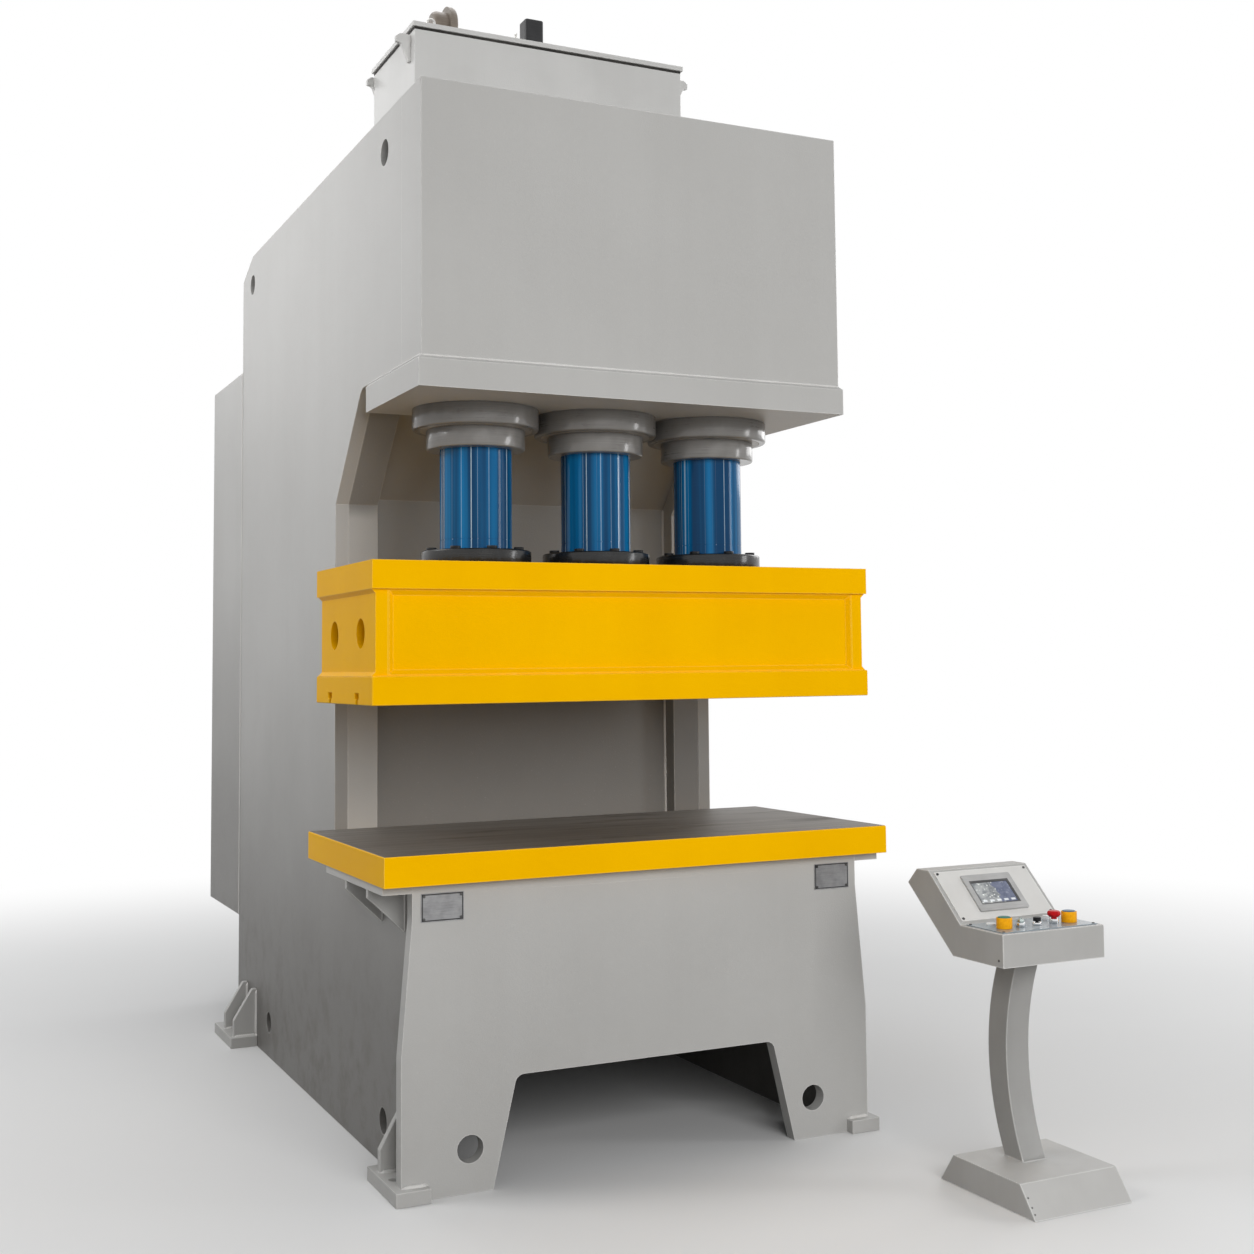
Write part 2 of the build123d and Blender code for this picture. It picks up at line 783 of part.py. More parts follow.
with BuildPart() as rear_cover_screws:
    with BuildSketch(across(housing_rear_depth + housing_sheet)):
        with Locations(*cover_screw_places):
            RegularPolygon(cover_screw_head_radius, hex_sides)
    extrude(amount=-cover_screw_head_height)
    with BuildSketch(across(housing_rear_depth + housing_sheet)):
        with Locations(*cover_screw_places):
            Circle(cover_screw_radius)
    extrude(amount=cover_screw_reach)
rear_cover_screws.part.label = "rear_cover_screws"
export_step(rear_cover_screws.part, "parts/rear_cover_screws.step")

# Oil tank: a welded box with an inner rim for the lid
tank_middle = y_at(tank_front_depth + tank_depth / 2)
rim_opening_width = 2 * (tank_half_width - tank_rim_width)
rim_opening_depth = tank_depth - 2 * tank_rim_width
lid_bolt_places = [
    (x, tank_middle + y)
    for x in spread(lid_bolt_columns, 2 * tank_half_width - tank_rim_width)
    for y in spread(lid_bolt_rows, tank_depth - tank_rim_width)
    if abs(x) > rim_opening_width / 2 or abs(y) > rim_opening_depth / 2
]

with BuildPart() as oil_tank:
    with BuildSketch(Plane.XY.offset(frame_height)):
        with Locations((0, tank_middle)):
            Rectangle(2 * tank_half_width, tank_depth)
    extrude(amount=tank_height)
    with BuildSketch(Plane.XY.offset(frame_height + tank_wall)):
        with Locations((0, tank_middle)):
            Rectangle(2 * (tank_half_width - tank_wall), tank_depth - 2 * tank_wall)
    extrude(amount=tank_height - tank_wall - tank_rim_thickness, mode=Mode.SUBTRACT)
    with BuildSketch(Plane.XY.offset(tank_top_height)):
        with Locations((0, tank_middle)):
            Rectangle(rim_opening_width, rim_opening_depth)
        with Locations(*lid_bolt_places):
            Circle(lid_bolt_radius + fit_gap)
    extrude(amount=-tank_rim_thickness, mode=Mode.SUBTRACT)
    with Locations(*[(x, y, frame_height + tank_wall) for x, y in pipe_places]):
        Hole(pipe_radius + fit_gap, depth=tank_wall)
oil_tank.part.label = "oil_tank"
export_step(oil_tank.part, "parts/oil_tank.step")

with BuildPart() as tank_gasket:
    with BuildSketch(Plane.XY.offset(tank_top_height)):
        with Locations((0, tank_middle)):
            Rectangle(2 * tank_half_width, tank_depth)
            Rectangle(rim_opening_width, rim_opening_depth, mode=Mode.SUBTRACT)
        with Locations(*lid_bolt_places):
            Circle(lid_bolt_radius + fit_gap, mode=Mode.SUBTRACT)
    extrude(amount=gasket_thickness)
tank_gasket.part.label = "tank_gasket"
export_step(tank_gasket.part, "parts/tank_gasket.step")

eye_places = [(inset - tank_half_width, y_at(eye_depth)) for inset in eye_insets]
with BuildPart() as tank_lid:
    with BuildSketch(Plane.XY.offset(lid_bottom_height)):
        with Locations((0, tank_middle)):
            Rectangle(2 * (tank_half_width + lid_overhang), tank_depth + 2 * lid_overhang)
        with Locations(*lid_bolt_places):
            Circle(lid_bolt_radius + fit_gap, mode=Mode.SUBTRACT)
        with Locations(*eye_places):
            Circle(eye_shank_radius + fit_gap, mode=Mode.SUBTRACT)
    extrude(amount=lid_thickness)
tank_lid.part.label = "tank_lid"
export_step(tank_lid.part, "parts/tank_lid.step")

with BuildPart() as tank_lid_bolts:
    with BuildSketch(Plane.XY.offset(lid_top_height)):
        with Locations(*lid_bolt_places):
            RegularPolygon(lid_bolt_head_radius, hex_sides)
    extrude(amount=lid_bolt_head_height)
    with BuildSketch(Plane.XY.offset(lid_top_height)):
        with Locations(*lid_bolt_places):
            Circle(lid_bolt_radius)
    extrude(amount=-(lid_thickness + gasket_thickness + tank_rim_thickness))
tank_lid_bolts.part.label = "tank_lid_bolts"
export_step(tank_lid_bolts.part, "parts/tank_lid_bolts.step")

# Hook plates, flat on top, with a nose and a slant down: one pair on the tank's ends, one on its back
hook_corner = (0.0, 0.0)
hook_tip = (0.0, 1.0)
hook_outline = (hook_corner, hook_crown, hook_nose, hook_chin, hook_hollow, hook_root, hook_tip)


def hook_point(sign, lap, share):
    """A point of the hook's outline, from its shares of the reach and the height."""
    drop = hook_top_drop + share[1] * hook_height
    return (sign * (tank_half_width - lap + share[0] * hook_reach), tank_top_height - drop)


with BuildPart() as tank_hooks:
    for sign in (-1, 1):
        for depth, lap in ((hook_front_depth, 0.0), (hook_rear_depth, hook_rear_lap)):
            with BuildSketch(across(depth)) as hook_face:
                with BuildLine():
                    Polyline(*[hook_point(sign, lap, share) for share in hook_outline], close=True)
                make_face()
                hollow = Vector(*hook_point(sign, lap, hook_hollow), 0)
                fillet(hook_face.vertices().sort_by_distance(hollow)[0], radius=hook_hollow_radius)
            extrude(amount=-hook_thickness)
tank_hooks.part.label = "tank_hooks"
export_step(tank_hooks.part, "parts/tank_hooks.step")

# Return filter: a round neck with a wide cap, lying on a foot on the lid
filter_cap_radius = filter_neck_radius + filter_cap_step
filter_axis_rise = filter_cap_radius + filter_lift
filter_axis = lid_top_height + filter_axis_rise
filter_left = filter_inset - tank_half_width
cap_left = filter_left + filter_neck_length
cap_right = cap_left + filter_cap_length
with BuildPart() as return_filter:
    with BuildSketch(across(filter_depth)) as filter_profile:
        with BuildLine():
            Polyline(
                (filter_left, filter_axis),
                (filter_left, filter_axis + filter_neck_radius),
                (cap_left, filter_axis + filter_neck_radius),
                (cap_left, filter_axis + filter_cap_radius),
                (cap_right, filter_axis + filter_cap_radius),
                (cap_right, filter_axis),
                close=True,
            )
        make_face()
        for corner in ((filter_left, filter_neck_radius), (cap_right, filter_cap_radius)):
            place = Vector(corner[0], filter_axis + corner[1], 0)
            fillet(filter_profile.vertices().sort_by_distance(place)[0], radius=filter_corner_radius)
    revolve(axis=Axis((0, y_at(filter_depth), filter_axis), (1, 0, 0)))
    with BuildSketch(Plane.XY.offset(lid_top_height)):
        with Locations((filter_left + filter_neck_length / 2, y_at(filter_depth))):
            Rectangle(filter_foot_length, filter_foot_width)
    extrude(amount=filter_axis_rise)
return_filter.part.label = "return_filter"
export_step(return_filter.part, "parts/return_filter.step")

# Level switch: a junction head on a stem
switch_flange_radius = switch_stem_radius + switch_flange_step
switch_head_bottom = lid_top_height + switch_flange_thickness + switch_stem_height
with BuildPart() as level_switch:
    with BuildSketch(Plane.XY.offset(lid_top_height)):
        with Locations((switch_offset, y_at(switch_depth))):
            Circle(switch_flange_radius)
    extrude(amount=switch_flange_thickness)
    with BuildSketch(Plane.XY.offset(lid_top_height + switch_flange_thickness)):
        with Locations((switch_offset, y_at(switch_depth))):
            Circle(switch_stem_radius)
    extrude(amount=switch_stem_height)
    with BuildSketch(Plane.XY.offset(switch_head_bottom)):
        with Locations((switch_offset, y_at(switch_depth))):
            RectangleRounded(switch_head_width, switch_head_depth, switch_head_radius)
    extrude(amount=switch_head_height)
    fillet(level_switch.faces().sort_by(Axis.Z)[-1].edges(), radius=switch_top_radius)
level_switch.part.label = "level_switch"
export_step(level_switch.part, "parts/level_switch.step")

# Eye bolts
ring_centre_rise = eye_collar_height + eye_ring_radius
with BuildPart() as eye_bolts:
    for (x, y), turn in zip(eye_places, eye_turns):
        with Locations(Location((x, y, lid_top_height), (0, 0, turn))):
            Cylinder(eye_collar_radius, eye_collar_height, align=(Align.CENTER, Align.CENTER, Align.MIN))
            Cylinder(eye_shank_radius, lid_thickness, align=(Align.CENTER, Align.CENTER, Align.MAX))
            with Locations(Location((0, 0, ring_centre_rise), (90, 0, 0))):
                Torus(eye_ring_radius, eye_bar_radius)
eye_bolts.part.label = "eye_bolts"
export_step(eye_bolts.part, "parts/eye_bolts.step")

# Feed pipes: down from the tank and forward into the barrels
pipe_front = cylinder_depth + barrel_radius + fit_gap
with BuildPart() as feed_pipes:
    for x, y, _ in cylinder_places(0):
        with BuildLine() as pipe_path:
            FilletPolyline(
                (x, y_at(pipe_depth), frame_height + tank_wall + pipe_stub),
                (x, y_at(pipe_depth), pipe_height),
                (x, y_at(pipe_front), pipe_height),
                radius=pipe_bend_radius,
            )
        with BuildSketch(Plane.XY.offset(frame_height + tank_wall + pipe_stub)):
            with Locations((x, y_at(pipe_depth))):
                Circle(pipe_radius)
                Circle(pipe_bore_radius, mode=Mode.SUBTRACT)
        sweep(path=pipe_path.line)
feed_pipes.part.label = "feed_pipes"
export_step(feed_pipes.part, "parts/feed_pipes.step")

# Cylinder barrels: closed at the top, with a collar that bears on the flange plate
with BuildPart() as cylinder_barrels:
    with BuildSketch(Plane.XY.offset(ring_bottom)):
        with Locations(*[(x, y) for x, y, _ in cylinder_places(0)]):
            Circle(barrel_radius)
    extrude(amount=barrel_top_height - ring_bottom)
    with BuildSketch(Plane.XY.offset(head_bottom_height)):
        with Locations(*[(x, y) for x, y, _ in cylinder_places(0)]):
            Circle(barrel_collar_radius)
    extrude(amount=barrel_collar_height)
    with BuildSketch(Plane.XY.offset(ring_bottom)):
        with Locations(*[(x, y) for x, y, _ in cylinder_places(0)]):
            Circle(barrel_bore_radius)
    extrude(amount=barrel_inner_top - ring_bottom, mode=Mode.SUBTRACT)
    with BuildSketch(across(cylinder_depth)):
        with Locations(*[(x, pipe_height) for x, _, _ in cylinder_places(0)]):
            Circle(pipe_bore_radius)
    extrude(amount=-2 * barrel_radius, mode=Mode.SUBTRACT)
cylinder_barrels.part.label = "cylinder_barrels"
export_step(cylinder_barrels.part, "parts/cylinder_barrels.step")

# Clamp rings under the head
with BuildPart() as cylinder_rings:
    with BuildSketch(Plane.XY.offset(ring_bottom)):
        with Locations(*[(x, y) for x, y, _ in cylinder_places(0)]):
            Circle(ring_radius)
            Circle(barrel_radius + fit_gap, mode=Mode.SUBTRACT)
    extrude(amount=ring_height)
    ring_undersides = cylinder_rings.faces().filter_by(Axis.Z).group_by(Axis.Z)[0]
    ring_rims = [edge for face in ring_undersides for edge in face.outer_wire().edges()]
    chamfer(ring_rims, length=ring_chamfer)
cylinder_rings.part.label = "cylinder_rings"
export_step(cylinder_rings.part, "parts/cylinder_rings.step")

# Rod glands: a disc below the barrel with a spigot inside it and a groove for the seal
gland_profile = [
    (rod_radius + running_gap, gland_bottom),
    (gland_radius - gland_chamfer, gland_bottom),
    (gland_radius, gland_bottom + gland_chamfer),
    (gland_radius, ring_bottom),
    (barrel_bore_radius - running_gap, ring_bottom),
    (barrel_bore_radius - running_gap, ring_bottom + gland_spigot_height),
    (rod_radius + running_gap, ring_bottom + gland_spigot_height),
    (rod_radius + running_gap, gland_bottom + seal_rise + seal_height),
    (rod_radius + seal_depth, gland_bottom + seal_rise + seal_height),
    (rod_radius + seal_depth, gland_bottom + seal_rise),
    (rod_radius + running_gap, gland_bottom + seal_rise),
]
with BuildPart() as rod_glands:
    for x, y, _ in cylinder_places(0):
        with BuildSketch(across(cylinder_depth)):
            with BuildLine():
                Polyline(*[(x + r, z) for r, z in gland_profile], close=True)
            make_face()
        revolve(axis=Axis((x, y, 0), (0, 0, 1)))
rod_glands.part.label = "rod_glands"
export_step(rod_glands.part, "parts/rod_glands.step")

with BuildPart() as rod_seals:
    with BuildSketch(Plane.XY.offset(gland_bottom + seal_rise)):
        with Locations(*[(x, y) for x, y, _ in cylinder_places(0)]):
            Circle(rod_radius + seal_depth)
            Circle(rod_radius + running_gap, mode=Mode.SUBTRACT)
    extrude(amount=seal_height)
rod_seals.part.label = "rod_seals"
export_step(rod_seals.part, "parts/rod_seals.step")

# Piston rods: a collar at the foot, a thin groove above the flange and a spigot for the piston
rod_profile = [
    (0, slide_top_height),
    (rod_collar_radius, slide_top_height),
    (rod_collar_radius, slide_top_height + rod_collar_height),
    (rod_radius, slide_top_height + rod_collar_height),
    (rod_radius, slide_top_height + rod_groove_rise),
    (rod_radius - rod_groove_depth, slide_top_height + rod_groove_rise),
    (rod_radius - rod_groove_depth, slide_top_height + rod_groove_rise + rod_groove_width),
    (rod_radius, slide_top_height + rod_groove_rise + rod_groove_width),
    (rod_radius, piston_rest_height),
    (rod_spigot_radius, piston_rest_height),
    (rod_spigot_radius, piston_rest_height + piston_height),
    (0, piston_rest_height + piston_height),
]
with BuildPart() as piston_rods:
    for x, y, _ in cylinder_places(0):
        with BuildSketch(across(cylinder_depth)):
            with BuildLine():
                Polyline(*[(x + r, z) for r, z in rod_profile], close=True)
            make_face()
        revolve(axis=Axis((x, y, 0), (0, 0, 1)))
piston_rods.part.label = "piston_rods"
export_step(piston_rods.part, "parts/piston_rods.step")

with BuildPart() as pistons:
    with BuildSketch(Plane.XY.offset(piston_rest_height)):
        with Locations(*[(x, y) for x, y, _ in cylinder_places(0)]):
            Circle(barrel_bore_radius - running_gap)
            Circle(rod_spigot_radius + running_gap, mode=Mode.SUBTRACT)
    extrude(amount=piston_height)
pistons.part.label = "pistons"
export_step(pistons.part, "parts/pistons.step")

# Rod flanges: black clamp discs that hold the rods' collars down on the slide
rod_flange_profile = [
    (rod_collar_radius + fit_gap, slide_top_height),
    (rod_flange_radius, slide_top_height),
    (rod_flange_radius, rod_flange_top - rod_flange_chamfer),
    (rod_flange_radius - rod_flange_chamfer, rod_flange_top),
    (rod_radius + fit_gap, rod_flange_top),
    (rod_radius + fit_gap, slide_top_height + rod_collar_height),
    (rod_collar_radius + fit_gap, slide_top_height + rod_collar_height),
]


def rod_bolt_places(x, y):
    """The bolt circle round one rod."""
    turns = [radians(360 * i / rod_bolt_count) for i in range(rod_bolt_count)]
    return [(x + rod_bolt_circle_radius * sin(a), y - rod_bolt_circle_radius * cos(a)) for a in turns]


with BuildPart() as rod_flanges:
    for x, y, _ in cylinder_places(0):
        with BuildSketch(across(cylinder_depth)):
            with BuildLine():
                Polyline(*[(x + r, z) for r, z in rod_flange_profile], close=True)
            make_face()
        revolve(axis=Axis((x, y, 0), (0, 0, 1)))
        with BuildSketch(Plane.XY.offset(slide_top_height)):
            with Locations(*rod_bolt_places(x, y)):
                Circle(rod_bolt_radius + fit_gap)
        extrude(amount=rod_flange_thickness, mode=Mode.SUBTRACT)
rod_flanges.part.label = "rod_flanges"
export_step(rod_flanges.part, "parts/rod_flanges.step")

all_rod_bolts = [place for x, y, _ in cylinder_places(0) for place in rod_bolt_places(x, y)]
with BuildPart() as rod_flange_bolts:
    with BuildSketch(Plane.XY.offset(rod_flange_top)):
        with Locations(*all_rod_bolts):
            Circle(rod_bolt_head_radius)
    extrude(amount=rod_bolt_head_height)
    with BuildSketch(Plane.XY.offset(rod_flange_top + rod_bolt_head_height)):
        with Locations(*all_rod_bolts):
            RegularPolygon(rod_bolt_socket_radius, hex_sides)
    extrude(amount=-rod_bolt_socket_depth, mode=Mode.SUBTRACT)
    with BuildSketch(Plane.XY.offset(rod_flange_top)):
        with Locations(*all_rod_bolts):
            Circle(rod_bolt_radius)
    extrude(amount=-(rod_flange_thickness + rod_bolt_reach))
rod_flange_bolts.part.label = "rod_flange_bolts"
export_step(rod_flange_bolts.part, "parts/rod_flange_bolts.step")

# Slide: a welded box of a top plate, a bottom plate with T-slots, webs, end plates and ribs
slide_middle = y_at(cylinder_depth)
with BuildPart() as slide_top_plate:
    with BuildSketch(Plane.XY.offset(slide_web_top)):
        with Locations((0, slide_middle)):
            Rectangle(2 * slide_half_width, slide_depth)
    extrude(amount=slide_plate_thickness)
    with BuildSketch(Plane.XY.offset(slide_top_height)):
        with Locations(*all_rod_bolts):
            Circle(rod_bolt_radius + fit_gap)
    extrude(amount=-(rod_bolt_reach + fit_gap), mode=Mode.SUBTRACT)
slide_top_plate.part.label = "slide_top_plate"
export_step(slide_top_plate.part, "parts/slide_top_plate.step")

slot_middle_height = slide_bottom_height + slot_neck_depth + slot_head_depth / 2
with BuildPart() as slide_bottom_plate:
    with BuildSketch(Plane.YZ.offset(-slide_half_width)):
        with Locations((slide_middle, slide_bottom_height + slide_plate_thickness / 2)):
            Rectangle(slide_depth, slide_plate_thickness)
        for sign in (-1, 1):
            with Locations((slide_middle + sign * slot_offset, slide_bottom_height + slot_neck_depth / 2)):
                Rectangle(slot_neck_width, slot_neck_depth, mode=Mode.SUBTRACT)
            with Locations((slide_middle + sign * slot_offset, slot_middle_height)):
                Rectangle(slot_head_width, slot_head_depth, mode=Mode.SUBTRACT)
    extrude(amount=2 * slide_half_width)
slide_bottom_plate.part.label = "slide_bottom_plate"
export_step(slide_bottom_plate.part, "parts/slide_bottom_plate.step")

# Slide end plates, with handling holes and a weld bead along the top and bottom
end_depth = slide_depth - 2 * slide_overhang
for side, sign in (("left", -1), ("right", 1)):
    outer_face = sign * end_face_half
    with BuildPart() as slide_end_plate:
        with BuildSketch(Plane.YZ.offset(outer_face)):
            with Locations((slide_middle, slide_web_bottom + slide_web_height / 2)):
                Rectangle(end_depth, slide_web_height)
            with Locations(
                (slide_middle - slide_hole_offset, slide_web_bottom + slide_web_height / 2),
                (slide_middle + slide_hole_offset, slide_web_bottom + slide_web_height / 2),
            ):
                Circle(slide_hole_radius, mode=Mode.SUBTRACT)
        extrude(amount=-sign * slide_end_thickness)
        for level, rise in ((slide_web_bottom, slide_end_weld), (slide_web_top, -slide_end_weld)):
            with BuildSketch(across(slide_front_depth + slide_overhang)):
                with BuildLine():
                    Polyline(
                        (outer_face, level),
                        (outer_face + sign * slide_end_weld, level),
                        (outer_face, level + rise),
                        close=True,
                    )
                make_face()
            extrude(amount=-end_depth)
    slide_end_plate.part.label = f"slide_end_plate_{side}"
    export_step(slide_end_plate.part, f"parts/slide_end_plate_{side}.step")

# Slide webs: recessed between the end plates, with a weld bead all round the panel
web_half = end_face_half - slide_end_thickness
web_middle_height = slide_web_bottom + slide_web_height / 2
for side, sign in (("front", -1), ("back", 1)):
    web_face = slide_middle + sign * (slide_depth / 2 - slide_overhang - slide_web_recess)
    with BuildPart() as slide_web:
        with BuildSketch(Plane.XZ.offset(-web_face)):
            with Locations((0, web_middle_height)):
                Rectangle(2 * web_half, slide_web_height)
        extrude(amount=sign * slide_web_thickness)
        for rise, bead in ((0, slide_weld), (slide_web_recess, slide_weld_crown)):
            with BuildSketch(Plane.XZ.offset(-web_face - sign * rise)):
                with Locations((0, web_middle_height)):
                    Rectangle(2 * web_half, slide_web_height)
                    Rectangle(2 * (web_half - bead), slide_web_height - 2 * bead, mode=Mode.SUBTRACT)
        loft()
    slide_web.part.label = f"slide_{side}_web"
    export_step(slide_web.part, f"parts/slide_{side}_web.step")

# Ribs inside the slide
rib_depth = slide_depth - 2 * (slide_overhang + slide_web_recess + slide_web_thickness)
rib_pitch = 2 * web_half / (slide_rib_count + 1)
with BuildPart() as slide_ribs:
    for i in range(slide_rib_count):
        with BuildSketch(Plane.YZ.offset((i + 1) * rib_pitch - web_half - slide_rib_thickness / 2)):
            with Locations((slide_middle, web_middle_height)):
                Rectangle(rib_depth, slide_web_height)
        extrude(amount=slide_rib_thickness)
slide_ribs.part.label = "slide_ribs"
export_step(slide_ribs.part, "parts/slide_ribs.step")

# Blank nameplates on the base front plate
with BuildPart() as nameplates:
    with BuildSketch(across(0)):
        with Locations((-nameplate_x, nameplate_middle_height), (nameplate_x, nameplate_middle_height)):
            Rectangle(nameplate_width, nameplate_height)
        with Locations(*nameplate_screw_places):
            Circle(screw_shank_radius + fit_gap, mode=Mode.SUBTRACT)
    extrude(amount=nameplate_thickness)
nameplates.part.label = "nameplates"
export_step(nameplates.part, "parts/nameplates.step")

# Pedestal base: a plinth that slopes at the front and the back
plinth_outline = [
    (pedestal_base_front, 0),
    (pedestal_base_back, 0),
    (pedestal_base_back - pedestal_base_slope, pedestal_base_height),
    (pedestal_base_front + pedestal_base_slope, pedestal_base_height),
]
with BuildPart() as pedestal_base:
    with BuildSketch(Plane.YZ.offset(pedestal_offset - pedestal_base_width / 2)):
        with BuildLine():
            Polyline(*side_points(plinth_outline), close=True)
        make_face()
    extrude(amount=pedestal_base_width)
pedestal_base.part.label = "pedestal_base"
export_step(pedestal_base.part, "parts/pedestal_base.step")

# Pedestal column: a square tube bowed away from the operator
column_middle_height = (pedestal_base_height + console_bottom_height) / 2
with BuildPart() as pedestal_column:
    with BuildSketch(Plane.YZ.offset(pedestal_offset - column_width / 2)):
        with BuildLine():
            front_arc = ThreePointArc(
                (y_at(column_front_depth), pedestal_base_height),
                (y_at(column_front_depth + column_bow), column_middle_height),
                (y_at(column_front_depth), console_bottom_height),
            )
            back_arc = ThreePointArc(
                (y_at(column_front_depth + column_depth), pedestal_base_height),
                (y_at(column_front_depth + column_depth + column_bow), column_middle_height),
                (y_at(column_front_depth + column_depth), console_bottom_height),
            )
            Line(front_arc @ 0, back_arc @ 0)
            Line(front_arc @ 1, back_arc @ 1)
        make_face()
    extrude(amount=column_width)
    column_ends = pedestal_column.faces().filter_by(Axis.Z)
    offset(amount=-column_wall, openings=column_ends, kind=Kind.INTERSECTION)
pedestal_column.part.label = "pedestal_column"
export_step(pedestal_column.part, "parts/pedestal_column.step")

# Console box: a desk with a sloping panel behind it, in bent sheet
desk_back = console_front + console_desk_depth
slope_top = desk_back + console_slope_depth
console_top_height = console_desk_height + console_slope_height
console_outline = [
    (console_front, console_bottom_height),
    (console_front, console_desk_height),
    (desk_back, console_desk_height),
    (slope_top, console_top_height),
    (slope_top + console_top_depth, console_top_height),
    (slope_top + console_top_depth + console_back_depth, console_top_height - console_back_drop),
    (console_front + console_floor_depth, console_bottom_height),
]
slope_length = hypot(console_slope_depth, console_slope_height)
slope_centre = (
    pedestal_offset,
    y_at(desk_back + console_slope_depth / 2),
    console_desk_height + console_slope_height / 2,
)
slope_normal = (0, -console_slope_height / slope_length, console_slope_depth / slope_length)
slope_plane = Plane(origin=slope_centre, x_dir=(1, 0, 0), z_dir=slope_normal)
desk_centre = (pedestal_offset, y_at(console_front + console_desk_depth / 2))
panel_width = console_width - 2 * panel_margin
desk_panel_depth = console_desk_depth - 2 * panel_margin
panel_screw_x = panel_width / 2 - screw_inset
screen_plate_length = slope_length - 2 * screen_plate_margin
screen_screw_y = screen_plate_length / 2 - screw_inset
desk_screw_y = desk_panel_depth / 2 - screw_inset
screen_screw_places = [
    (x, y)
    for x in (-panel_screw_x, panel_screw_x)
    for y in (-screen_screw_y, screen_screw_y)
]
desk_screw_places = [
    (desk_centre[0] + x, desk_centre[1] + y)
    for x in (-panel_screw_x, panel_screw_x)
    for y in (-desk_screw_y, desk_screw_y)
]

with BuildPart() as console_box:
    with BuildSketch(Plane.YZ.offset(pedestal_offset - console_width / 2)) as console_side:
        with BuildLine():
            Polyline(*side_points(console_outline), close=True)
        make_face()
    extrude(amount=console_width)
    with BuildSketch(Plane.YZ.offset(pedestal_offset - console_width / 2 + console_sheet)):
        add(console_side.sketch_local)
        offset(amount=-console_sheet, mode=Mode.REPLACE, kind=Kind.INTERSECTION)
    extrude(amount=console_width - 2 * console_sheet, mode=Mode.SUBTRACT)
    with BuildSketch(Plane.XY.offset(console_desk_height)):
        with Locations(desk_centre):
            Rectangle(panel_width - 2 * console_window_margin, desk_panel_depth - 2 * console_window_margin)
        with Locations(*desk_screw_places):
            Circle(screw_shank_radius + fit_gap)
    extrude(amount=-console_sheet, mode=Mode.SUBTRACT)
    with BuildSketch(slope_plane):
        Rectangle(glass_width, glass_length)
        with Locations(*screen_screw_places):
            Circle(screw_shank_radius + fit_gap)
    extrude(amount=-console_sheet, mode=Mode.SUBTRACT)
console_box.part.label = "console_box"
export_step(console_box.part, "parts/console_box.step")

with BuildPart() as screen_plate:
    with BuildSketch(slope_plane):
        Rectangle(panel_width, screen_plate_length)
        Rectangle(glass_width, glass_length, mode=Mode.SUBTRACT)
        with Locations(*screen_screw_places):
            Circle(screw_shank_radius + fit_gap, mode=Mode.SUBTRACT)
    extrude(amount=panel_thickness)
screen_plate.part.label = "screen_plate"
export_step(screen_plate.part, "parts/screen_plate.step")

with BuildPart() as screen_bezel:
    with BuildSketch(slope_plane.offset(panel_thickness)):
        bezel_width = glass_width + 2 * bezel_side_margin
        bezel_length = glass_length + 2 * bezel_end_margin
        RectangleRounded(bezel_width, bezel_length, bezel_radius)
        Rectangle(glass_width, glass_length, mode=Mode.SUBTRACT)
    extrude(amount=bezel_thickness)
screen_bezel.part.label = "screen_bezel"
export_step(screen_bezel.part, "parts/screen_bezel.step")

with BuildPart() as screen_glass:
    with BuildSketch(slope_plane):
        Rectangle(glass_width - 2 * fit_gap, glass_length - 2 * fit_gap)
    extrude(amount=panel_thickness + glass_thickness)
screen_glass.part.label = "screen_glass"
export_step(screen_glass.part, "parts/screen_glass.step")


run_guard_bore_radius = run_cap_radius + run_cap_gap
run_guard_radius = run_guard_bore_radius + run_guard_wall
stop_neck_radius = control_bore_radius - stop_neck_gap
stop_offset = run_button_offset - run_guard_radius - stop_gap - stop_head_radius


def control_place(offset_x, depth):
    """A place on the desk, across from the pedestal's middle and so far behind the frame's front."""
    return (pedestal_offset + offset_x, y_at(depth))


run_places = {
    "left": control_place(-run_button_offset, control_row_depth),
    "right": control_place(run_button_offset, control_row_depth),
}
selector_place = control_place(selector_offset, control_row_depth)
black_place = control_place(black_button_offset, control_row_depth)
stop_place = control_place(stop_offset, control_row_depth)
lamp_places = [control_place(x, lamp_row_depth) for x in lamp_offsets]
stem_places = [*run_places.values(), selector_place, black_place, stop_place]

with BuildPart() as button_panel:
    with BuildSketch(Plane.XY.offset(console_desk_height)):
        with Locations(desk_centre):
            Rectangle(panel_width, desk_panel_depth)
        with Locations(*stem_places):
            Circle(stem_radius + fit_gap, mode=Mode.SUBTRACT)
        with Locations(*desk_screw_places):
            Circle(screw_shank_radius + fit_gap, mode=Mode.SUBTRACT)
    extrude(amount=panel_thickness)
button_panel.part.label = "button_panel"
export_step(button_panel.part, "parts/button_panel.step")

# Small screws of the nameplates and of the console's panels
with BuildPart() as panel_screws:
    for face, places, plate in (
        (across(0), nameplate_screw_places, nameplate_thickness),
        (slope_plane, screen_screw_places, panel_thickness),
        (Plane.XY.offset(console_desk_height), desk_screw_places, panel_thickness),
    ):
        with BuildSketch(face.offset(plate)):
            with Locations(*places):
                Circle(screw_head_radius)
        extrude(amount=screw_head_height)
        with BuildSketch(face.offset(plate)):
            with Locations(*places):
                Circle(screw_shank_radius)
        extrude(amount=-screw_shank_length)
panel_screws.part.label = "panel_screws"
export_step(panel_screws.part, "parts/panel_screws.step")

